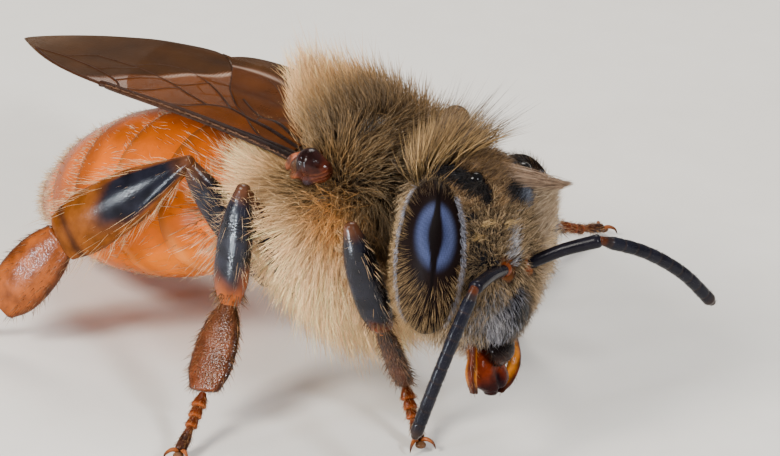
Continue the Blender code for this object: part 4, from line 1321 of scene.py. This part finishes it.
def abdomen_ring(share, turn, grow=0.0):
    """One ring round the abdomen; turn 0 is its left side and a quarter turn its back."""
    x, z, half = abdomen_at(share, 3)
    along_x, along_z = np.subtract(abdomen_at(share + 0.03, 2), abdomen_at(share - 0.03, 2))
    up = np.cross(unit([along_x, 0, along_z]), (0, 1, 0))
    up = up if up[2] > 0 else -up
    belly = 1 - 0.06 * np.clip(-np.sin(turn), 0, 1)
    half = max(half + grow, 0.02)
    return (
        np.array([x, 0, z])
        + (half * ABDOMEN_SIDE * np.cos(turn))[:, None] * np.array([0, 1.0, 0])
        + (half * belly * np.sin(turn))[:, None] * up
    )


ring_horn = shell_look("ring_horn", 0.26, 0.07, (0.66, 1.30), patch=1100.0, grain=30000.0, depth=3e-6)
turn = 2 * np.pi * np.arange(RING_ROUND) / RING_ROUND
seam = 0.035 * hump((np.sin(turn) + 0.42) / 0.05)[:, None]
abdomen_skins = []
for k in range(LAST_RING + 1):
    first, last = RING_STARTS[k], RING_STARTS[k + 1]
    shares = np.linspace(first + 0.004 * (k == 0), last - 0.012 * (k == LAST_RING), 24)
    rings = [abdomen_ring(s, turn, 0.016 * (s - first) / (last - first)) for s in shares]
    rings = [ring - unit(ring - ring.mean(0)) * seam for ring in rings]
    if k > 0:
        # the front of the ring, tucked under the one before
        tucked = ((first - 0.012, -0.12), (first - 0.008, -0.05))
        rings = [abdomen_ring(s, turn, grow) for s, grow in tucked] + rings
        shares = np.concatenate([[s for s, grow in tucked], shares])
    if k < LAST_RING:
        # the rear rim, folded in over the next
        folded = ((last + 0.006, 0.012), (last + 0.006, -0.03), (last, -0.12))
        rings += [abdomen_ring(s, turn, grow) for s, grow in folded]
        shares = np.concatenate([shares, [s for s, grow in folded]])
    sting_tip = np.array([-0.10, 0, -0.05]) * (k == LAST_RING)
    points, faces = loft(rings, rings[0].mean(0), rings[-1].mean(0) + sting_tip)
    share = np.append(np.repeat(shares, RING_ROUND), shares[[0, -1]])
    part = np.clip((share - first) / (last - first), 0, 1)
    up = np.append(np.tile(np.sin(turn), len(shares)), [0, 0])
    sideways = np.append(np.tile(np.cos(turn), len(shares)), [0, 0])
    orange = mix([0.60, 0.108, 0.001], [0.68, 0.150, 0.003], step(-0.1, -0.6, up))
    band_from = 0.80 - 0.09 * k
    band = step(band_from - 0.1, band_from + 0.22, part + 0.05 * np.sin(sideways * 7 + k))
    tint = mix(orange, BAND_BROWN, band * step(-0.55, -0.1, up) * RING_DARKNESS[k])
    tint = mix(tint, [0.20, 0.065, 0.015], 0.6 * step(0.90, 1.0, part) * step(-0.3, 0.1, up))
    tint = mix(tint, [0.90, 0.45, 0.16], 0.20 * hump((part - 0.93) / 0.06) * step(0.1, -0.3, up))
    tint = mix(tint, BAND_BROWN * 1.2, 0.55 * step(0.5, 1.0, part) * (k == LAST_RING))
    abdomen_skins.append((points, faces))
    ring_node = "abdomen_%d" % (k + 1)
    piece("abdomen_ring_%d" % (k + 1), points, faces, ring_horn, tint, (ring_node,))


def abdomen_place(p):
    """The share along the abdomen and the turn round it of some places."""
    line = abdomen_line[::8]
    gap = np.hypot(p[:, :1] - line[None, :, 0], (p[:, 2:3] - line[None, :, 1]) * 0.7)
    near = gap.argmin(1)
    return abdomen_run[::8][near], np.arctan2(p[:, 2] - line[near, 1], p[:, 1] / ABDOMEN_SIDE)


def down_wanted(middle):
    """Where the down of the ring now being laid grows: between two shares of that ring."""
    part = (abdomen_place(middle)[0] - first) / (last - first)
    inside = step(low - 0.03, low + 0.02, part) * step(high + 0.12, high - 0.05, part) + 0.12
    return inside * step(-0.05, 0.02, part) * step(1.03, 0.99, part)


down_hair = hair_look("down_hair", rough=0.5)
ABDOMEN_DOWN = (  # hairs, length, thickness, lean, from share of the ring, to share of the ring
    (1500, 0.34, 0.0060, 0.90, 0.05, 0.55),
    (500, 0.13, 0.0040, 1.15, 0.00, 1.00),
    (800, 0.12, 0.0042, 1.22, 0.00, 0.30),
    (1200, 0.13, 0.0045, 1.18, 0.00, 0.40),
    (1500, 0.17, 0.0050, 1.05, 0.00, 0.55),
    (1300, 0.21, 0.0055, 0.95, 0.00, 1.00),
)
for k, (count, far, thick, lean, low, high) in enumerate(ABDOMEN_DOWN):
    first, last = RING_STARTS[k], RING_STARTS[k + 1]
    roots, out = scatter(*abdomen_skins[k], count, down_wanted)
    share, way = abdomen_place(roots)
    back = laid_on(np.tile(unit([-1.0, 0, -0.33]), (count, 1)), out)
    tilt = lean * (0.85 + 0.3 * chance.random(count))
    aim = out * np.cos(tilt)[:, None] + back * np.sin(tilt)[:, None]
    aim = unit(aim + chance.normal(scale=0.13, size=(count, 3)))
    drawn, lock = gather(roots, count // 12, 0.5)
    length = far * (0.7 + 0.6 * chance.random(count))
    bend = back * 0.2 + drawn * 0.5 / length[:, None]
    tone = mix([0.66, 0.40, 0.20], [0.92, 0.68, 0.44], chance.random(count))
    spot = np.stack([way / (2 * np.pi) + 0.5, share], 1)
    width = thick * (0.8 + 0.4 * chance.random(count))
    lay_hair(
        "abdomen_down_%d" % (k + 1), roots, aim, bend, length, width, tone * 0.7, tone, spot, down_hair
    )

# ---------------------------------------------------------------------------
# Legs. Six, each of horn tubes hung one from the next: root, thigh, shin, flat foot
# plate, four small beads and a pair of hooked claws round a soft pad. Fine hairs
# lie down each; the hind shin's long fringe makes its pollen basket.
# ---------------------------------------------------------------------------
FLOOR = -THORAX[2]
LEG_JOINTS = {  # root, hip, knee, ankle, heel, and where the toe stands on the floor
    "foreleg_right": (
        (0.75, -0.40, -1.40), (1.00, -0.72, -1.80), (1.66, -1.97, 0.55),
        (1.93, -1.50, -1.41), (2.02, -1.00, -2.70), (2.74, -1.36),
    ),
    "foreleg_left": (
        (0.75, 0.40, -1.40), (1.00, 0.72, -1.80), (1.75, 2.52, -0.15),
        (1.45, 3.00, -1.90), (0.95, 3.15, -2.95), (-0.05, 3.60),
    ),
    "midleg_right": (
        (-0.35, -0.55, -1.45), (-0.38, -1.05, -1.85), (-0.83, -2.21, 0.55),
        (-0.95, -2.47, -1.56), (-0.45, -3.60, -2.80), (0.03, -4.66),
    ),
    "midleg_left": (
        (-0.35, 0.55, -1.45), (-0.38, 1.05, -1.85), (-0.80, 3.20, -0.30),
        (-0.95, 4.70, -1.75), (-1.05, 6.15, -2.92), (-1.12, 7.52),
    ),
    "hindleg_right": (
        (-1.25, -0.50, -1.35), (-1.50, -1.00, -1.75), (-2.48, -2.02, 0.52),
        (-4.72, -3.07, -1.35), (-5.74, -3.76, -2.86), (-6.80, -4.30),
    ),
    "hindleg_left": (
        (-1.25, 0.50, -1.35), (-1.50, 1.00, -1.75), (-2.60, 2.30, 0.10),
        (-4.60, 3.30, -1.75), (-5.80, 4.10, -2.90), (-6.90, 4.60),
    ),
}
LEG_FORMS = {  # half breadths and half thicknesses of thigh, shin and foot plate, evenly along each
    "foreleg": (
        ((0.20, 0.30, 0.31, 0.26, 0.15), (0.18, 0.24, 0.25, 0.21, 0.13)),
        ((0.12, 0.25, 0.31, 0.325, 0.31, 0.22), (0.12, 0.21, 0.24, 0.24, 0.23, 0.17)),
        ((0.12, 0.170, 0.185, 0.190, 0.19, 0.16), (0.10, 0.13, 0.135, 0.13, 0.12, 0.10)),
    ),
    "midleg": (
        ((0.20, 0.30, 0.32, 0.27, 0.15), (0.18, 0.24, 0.25, 0.21, 0.13)),
        ((0.12, 0.26, 0.325, 0.34, 0.325, 0.23), (0.12, 0.20, 0.23, 0.23, 0.22, 0.16)),
        ((0.16, 0.33, 0.41, 0.43, 0.42, 0.31), (0.11, 0.14, 0.15, 0.14, 0.12, 0.09)),
    ),
    "hindleg": (
        ((0.20, 0.33, 0.36, 0.30, 0.15), (0.18, 0.24, 0.25, 0.22, 0.13)),
        ((0.12, 0.31, 0.48, 0.55, 0.56, 0.46), (0.12, 0.17, 0.20, 0.20, 0.19, 0.15)),
        ((0.36, 0.48, 0.54, 0.55, 0.50, 0.34), (0.13, 0.17, 0.18, 0.17, 0.14, 0.10)),
    ),
}
SHIN_DARK = np.array([0.007, 0.007, 0.011])
SHIN_BROWN = {
    "foreleg": (0.11, 0.022, 0.004),
    "midleg": (0.22, 0.048, 0.008),
    "hindleg": (0.150, 0.042, 0.006),
}
BROWN_FROM = {"foreleg": 0.84, "midleg": 0.66, "hindleg": 0.52}
BROWN_OVER = {"foreleg": 0.20, "midleg": 0.34, "hindleg": 0.22}
PLATE_BROWN = {  # at the ankle and at the heel
    "foreleg": ((0.014, 0.006, 0.004), (0.050, 0.013, 0.004)),
    "midleg": ((0.060, 0.018, 0.006), (0.095, 0.020, 0.004)),
    "hindleg": ((0.20, 0.046, 0.008), (0.28, 0.062, 0.006)),
}
PALE_HAIR = ((0.46, 0.26, 0.11), (0.88, 0.60, 0.33))
BASKET_DOWN = ((0.10, 0.04, 0.015), (0.40, 0.22, 0.09))
SHIN_DOWN = ((0.03, 0.024, 0.02), (0.22, 0.17, 0.13))
SPINE_BROWN = ((0.10, 0.05, 0.02), (0.2, 0.1, 0.04))
PLATE_HAIR = ((0.05, 0.018, 0.008), (0.40, 0.18, 0.07))
FOREPLATE_HAIR = ((0.04, 0.018, 0.010), (0.24, 0.11, 0.045))
FOOT_HAIR = ((0.14, 0.05, 0.016), (0.52, 0.24, 0.08))
FOOT_STATIONS = 101
BEAD_ENDS = (0, 16, 31, 46, 93)
BEAD_HALF = (0.060, 0.080, 0.112, 0.128)
BEAD_WIDER = (1.08, 1.0, 0.92)
LAST_BEAD_HALF = (0.050, 0.075, 0.108, 0.112)
CLAW_HALF = (0.045, 0.038, 0.025, 0.006)
PAD_HALF = np.array([0.10, 0.10, 0.06])
leg_horn = shell_look("leg_horn", 0.17, 0.24, (0.55, 1.5), patch=3500.0, grain=32000.0, depth=5e-6)
foot_horn = shell_look("foot_horn", 0.24, 0.16, (0.55, 1.45), patch=5000.0, grain=40000.0)
basket_horn = shell_look("basket_horn", 0.13, 0.07, (0.5, 1.5), patch=3000.0, grain=32000.0, depth=2e-6)
plate_horn = shell_look("plate_horn", 0.22, 0.34, (0.6, 1.5), patch=3500.0, grain=30000.0, depth=1.1e-5)
leg_hair = hair_look("leg_hair", rough=0.45)


def comb_leg(
    name, skin, ends, broad, count, length, lean, tones, thick, edging=0, curl=0.15, span=(0.02, 0.98)
):
    """Hairs down one leg piece, over a span of it; edging above 0 keeps them to its two edges."""
    first, last = ends
    way = unit(last - first)
    reach = np.linalg.norm(last - first)
    broad = unit(broad - way * (broad @ way))
    narrow = np.cross(way, broad)

    def wanted(middle):
        along = (middle - first) @ way
        flat = unit(middle - first - along[:, None] * way)
        share = along / reach
        inside = step(span[0] - 0.02, span[0] + 0.02, share) * step(span[1] + 0.02, span[1] - 0.02, share)
        return np.abs(flat @ broad) ** edging * inside

    roots, out = scatter(*skin, count, wanted)
    flat = unit(out - (out @ way)[:, None] * way)
    tilt = lean * (0.8 + 0.4 * chance.random(count))
    aim = flat * np.cos(tilt)[:, None] + way * np.sin(tilt)[:, None]
    aim = unit(aim + chance.normal(scale=0.12, size=(count, 3)))
    length = length * (0.65 + 0.7 * chance.random(count))
    tone = mix(*tones, chance.random(count))
    turn = np.arctan2(flat @ narrow, flat @ broad) / (2 * np.pi) + 0.5
    spot = np.stack([turn, np.clip((roots - first) @ way / reach, 0, 1)], 1)
    width = thick * (0.8 + 0.4 * chance.random(count))
    lay_hair(name, roots, aim, way * curl + 0 * roots, length, width, tone * 0.75, tone * 1.1, spot, leg_hair)


def on_floor(points):
    """Points pressed up flat where they would go below the floor."""
    points[:, 2] = np.maximum(points[:, 2], FLOOR)
    return points


for name, joints in LEG_JOINTS.items():
    kind, word = name.split("_")
    hind = kind == "hindleg"
    root, hip, knee, ankle, heel = (np.array(joint) for joint in joints[:5])
    toe = np.array([*joints[5], FLOOR + 0.15])
    outward = np.array([0.25, -1.0 if word == "right" else 1.0, 0.30])
    thigh_form, shin_form, plate_form = LEG_FORMS[kind]

    broad = np.cross(unit(hip - root), outward)
    knots = [root, (root + hip) / 2, hip]
    points, faces, share, turn = limb(knots, (0.44, 0.38, 0.24), (0.40, 0.34, 0.22), broad, 16, 28)
    tint = mix([0.03, 0.018, 0.012], [0.06, 0.026, 0.012], share)
    piece(name + "_root", points, faces, leg_horn, tint, (name + "_coxa",))
    comb_leg(name + "_root_hair", (points, faces), (root, hip), broad, 420, 0.42, 0.8, PALE_HAIR, 0.008)

    broad = np.cross(unit(knee - hip), outward)
    way = unit(knee - hip)
    knots = [hip - way * 0.05, hip * 0.5 + knee * 0.5, knee - way * 0.06]
    points, faces, share, turn = limb(knots, *thigh_form, broad, 34, 32)
    tint = mix(SHIN_DARK * 1.2, [0.060, 0.022, 0.010], step(0.80, 1.0, share))
    piece(name + "_thigh", points, faces, leg_horn, tint, (name + "_femur",))
    comb_leg(name + "_thigh_hair", (points, faces), (hip, knee), broad, 320, 0.24, 0.95, PALE_HAIR, 0.0042)

    broad = np.cross(unit(ankle - knee), outward)
    way = unit(ankle - knee)
    bow = outward * (0.02 if hind else 0.05)
    upper = knee * 0.66 + ankle * 0.34 + bow
    lower = knee * 0.3 + ankle * 0.7 + bow
    knots = [knee - way * 0.08, upper, lower, ankle - way * 0.03]
    points, faces, share, turn = limb(knots, *shin_form, broad, 44, 40, square=0.9)
    edge = np.abs(np.cos(turn))
    cloud = 0.05 * np.sin(9 * share + 4 * np.cos(turn)) + 0.10 * edge**2
    brown_to = BROWN_FROM[kind] + BROWN_OVER[kind]
    tint = mix(SHIN_DARK, SHIN_BROWN[kind], step(BROWN_FROM[kind], brown_to, share + cloud))
    tint = mix(tint, [0.075, 0.026, 0.010], 0.8 * step(0.14, 0.02, share))
    if hind:
        tint = mix(tint, [0.17, 0.045, 0.006], 0.85 * step(0.74, 0.95, edge + 0.1 * share))
        tint = mix(tint, [0.035, 0.012, 0.006], 0.85 * hump((share - 0.90) / 0.035))
    shin_horn = basket_horn if hind else leg_horn
    piece(name + "_shin", points, faces, shin_horn, tint, (name + "_tibia",))
    shin = ((points, faces), (knee, ankle), broad)
    if hind:
        comb_leg(name + "_basket_fringe", *shin, 200, 0.42, 0.85, PALE_HAIR, 0.0040, 20, 0.45, (0.05, 0.98))
        comb_leg(name + "_shin_down", *shin, 60, 0.08, 1.15, BASKET_DOWN, 0.0026)
    else:
        comb_leg(name + "_shin_down", *shin, 420, 0.10, 1.20, SHIN_DOWN, 0.0025, 2)
        comb_leg(name + "_shin_hairs", *shin, 60, 0.24, 0.70, PALE_HAIR, 0.0032, 2.4, span=(0.02, 0.75))
        comb_leg(name + "_shin_spines", *shin, 70, 0.17, 0.75, SPINE_BROWN, 0.008, span=(0.88, 1.0))

    way = unit(unit(ankle - knee) + unit(heel - ankle))
    knots = [ankle - way * 0.10, ankle, ankle + way * 0.10]
    points, faces, share, turn = limb(knots, (0.12, 0.10, 0.12), (0.10, 0.08, 0.10), broad, 8, 18)
    piece(name + "_ankle_skin", points, faces, foot_horn, [0.60, 0.17, 0.025])

    broad = np.cross(unit(heel - ankle), outward)
    way = unit(heel - ankle)
    knots = [ankle + way * 0.06, (ankle + heel) / 2, heel - way * 0.08]
    points, faces, share, turn = limb(knots, *plate_form, broad, 40, 36, square=0.9)
    plate_rim = 0.85 * step(0.72, 0.98, np.abs(np.cos(turn)))
    tint = mix(*PLATE_BROWN[kind], share)
    tint = mix(tint, np.array(PLATE_BROWN[kind][0]) * 0.30, plate_rim)
    plate_look = leg_horn if hind else plate_horn
    piece(name + "_foot_plate", points, faces, plate_look, tint, (name + "_basitarsus",))
    plate = ((points, faces), (ankle, heel), broad)
    plate_tones = FOREPLATE_HAIR if kind == "foreleg" else PLATE_HAIR
    comb_leg(name + "_plate_hair", *plate, 60 if hind else 900, 0.075, 1.1, plate_tones, 0.0032)
    comb_leg(name + "_plate_bristles", *plate, 260, 0.16, 0.75, plate_tones, 0.0048, 10)

    # the foot: four beads, two claws and a pad, which stands on the floor
    foot_line = curve_through([heel, heel * 0.5 + toe * 0.5 - 0.06 * UP, toe], FOOT_STATIONS)
    level = unit([toe[0] - heel[0], toe[1] - heel[1], 0])
    sideways = np.cross(level, UP)
    foot = []
    for a, b, wider in zip(BEAD_ENDS, BEAD_ENDS[1:-1], BEAD_WIDER):
        start, end = foot_line[a], foot_line[b]
        end = end + unit(end - start) * 0.05
        wide = np.array(BEAD_HALF)
        knots = [start, start * 0.6 + end * 0.4, end]
        points, faces, share, turn = limb(knots, wide * wider, wide * 0.8, sideways, 14, blunt=0.25)
        tint = mix([0.080, 0.014, 0.003], [0.24, 0.050, 0.006], 0.8 * step(0.78, 1.0, share))
        foot.append((points, faces, tint))
    start, end = foot_line[BEAD_ENDS[-2]], foot_line[BEAD_ENDS[-1]]
    wide = np.array(LAST_BEAD_HALF)
    knots = [start, start * 0.6 + end * 0.4, end]
    points, faces, share, turn = limb(knots, wide, wide * 0.8, sideways, 14, blunt=0.25)
    tint = mix([0.095, 0.020, 0.005], [0.030, 0.009, 0.004], step(0.1, 0.7, share))
    foot.append((points, faces, tint))
    for hook in (-1, 1):
        base = end + sideways * hook * 0.05
        way = level * 0.75 + sideways * hook * 0.65
        rise = base + way * 0.12 + 0.03 * UP
        bend = base + way * 0.24 - 0.02 * UP
        knots = [base, rise, bend, base + way * 0.29 - 0.12 * UP]
        points, faces, share, turn = limb(knots, CLAW_HALF, CLAW_HALF, UP, 14, 12)
        tint = mix([0.24, 0.065, 0.016], [0.04, 0.014, 0.007], step(0.3, 0.9, share))
        foot.append((on_floor(points), faces, tint))
    points, faces = loft(*ball(18, 12, PAD_HALF))
    foot.append((on_floor(points + end + level * 0.09 - 0.06 * UP), faces, [0.10, 0.045, 0.02]))
    points, faces, tint = joined(foot)
    piece(name + "_foot_beads", points, faces, foot_horn, tint, (name + "_foot",))
    comb_leg(
        name + "_foot_hair", (points, faces), (heel, toe), sideways, 420, 0.085, 0.85, FOOT_HAIR, 0.0036,
        span=(0.02, 0.9),
    )

# ---------------------------------------------------------------------------
# Studio. A sheet of pale paper under the feet, four soft boxes, a narrow strip
# light beside the legs, and a long close lens.
# ---------------------------------------------------------------------------
PAPER_HALF = 0.4
paper = bpy.data.materials.new("pale_paper")
paper.use_nodes = True
nodes = paper.node_tree.nodes
links = paper.node_tree.links
place = nodes.new("ShaderNodeTexCoord").outputs["Generated"]
fibres = noise(nodes, links, place, 900.0, 6.0)
paper_tone = nodes.new("ShaderNodeMix")
paper_tone.data_type = "RGBA"
paper_tone.inputs["A"].default_value = (0.74, 0.71, 0.66, 1)
paper_tone.inputs["B"].default_value = (0.80, 0.77, 0.72, 1)
links.new(fibres, paper_tone.inputs["Factor"])
links.new(paper_tone.outputs["Result"], nodes["Principled BSDF"].inputs["Base Color"])
nodes["Principled BSDF"].inputs["Roughness"].default_value = 0.85
sheet = bpy.data.meshes.new("paper")
corners = [(x * PAPER_HALF, y * PAPER_HALF, 0) for x, y in ((-1, -1), (1, -1), (1, 1), (-1, 1))]
sheet.from_pydata(corners, [], [(0, 1, 2, 3)])
sheet.materials.append(paper)
paper_floor = bpy.data.objects.new("paper_floor", sheet)
bpy.context.scene.collection.objects.link(paper_floor)

world = bpy.data.worlds.new("studio_air")
world.use_nodes = True
world.node_tree.nodes["Background"].inputs["Color"].default_value = (0.95, 0.97, 1.0, 1)
world.node_tree.nodes["Background"].inputs["Strength"].default_value = 0.26
bpy.context.scene.world = world


def soft_box(name, direction, distance, width, height, watts, colour, spread=180):
    """A soft light at a distance in metres, aimed at the thorax, that spreads so many degrees."""
    lamp = bpy.data.lights.new(name, "AREA")
    lamp.shape = "RECTANGLE"
    lamp.size = width
    lamp.size_y = height
    lamp.energy = watts
    lamp.color = colour
    lamp.spread = math.radians(spread)
    holder = bpy.data.objects.new(name, lamp)
    bpy.context.scene.collection.objects.link(holder)
    way = Vector(direction).normalized()
    holder.location = Vector(THORAX * MM) + way * distance
    holder.rotation_euler = (-way).to_track_quat("-Z", "Y").to_euler()


soft_box("key_light", (-0.15, -1.0, 0.85), 0.09, 0.028, 0.028, 0.100, (1.0, 0.96, 0.90))
soft_box("face_light", (1.0, -0.10, 0.60), 0.09, 0.014, 0.014, 0.065, (0.95, 0.97, 1.0))
soft_box("rim_light", (-0.6, 0.8, 1.3), 0.10, 0.05, 0.05, 0.080, (1.0, 0.96, 0.90))
# the strip stands close beside the bee and draws a line of light down each leg
soft_box("strip_light", (-0.05, -1.0, -0.13), 0.014, 0.6 * MM, 3.0 * MM, 0.00018, (0.80, 0.90, 1.0), 50)
soft_box("leg_light", (-0.35, -1.0, 0.10), 0.10, 0.007, 0.007, 0.060, (0.86, 0.93, 1.0))

CAMERA_AZIMUTH = math.radians(45)
CAMERA_HEIGHT = math.radians(25)
CAMERA_REACH = 100 * MM
FRAME_COLUMNS = 780
COLUMNS_PER_MM = 56
SHOWN_WIDTH = FRAME_COLUMNS / COLUMNS_PER_MM * MM
SENSOR_WIDTH = 36
toward = Vector(
    (
        math.sin(CAMERA_AZIMUTH) * math.cos(CAMERA_HEIGHT),
        -math.cos(CAMERA_AZIMUTH) * math.cos(CAMERA_HEIGHT),
        math.sin(CAMERA_HEIGHT),
    )
)
to_right = Vector((math.cos(CAMERA_AZIMUTH), math.sin(CAMERA_AZIMUTH), 0))
to_top = toward.cross(to_right)
aim_point = Vector(THORAX * MM) + to_right * 0.446 * MM - to_top * 0.554 * MM
lens = bpy.data.cameras.new("close_lens")
lens.sensor_width = SENSOR_WIDTH
lens.lens = SENSOR_WIDTH * CAMERA_REACH / SHOWN_WIDTH
lens.clip_start = 0.001
lens.clip_end = 5.0
camera = bpy.data.objects.new("camera", lens)
bpy.context.scene.collection.objects.link(camera)
camera.location = aim_point + toward * CAMERA_REACH
camera.rotation_euler = toward.to_track_quat("Z", "Y").to_euler()
bpy.context.scene.camera = camera
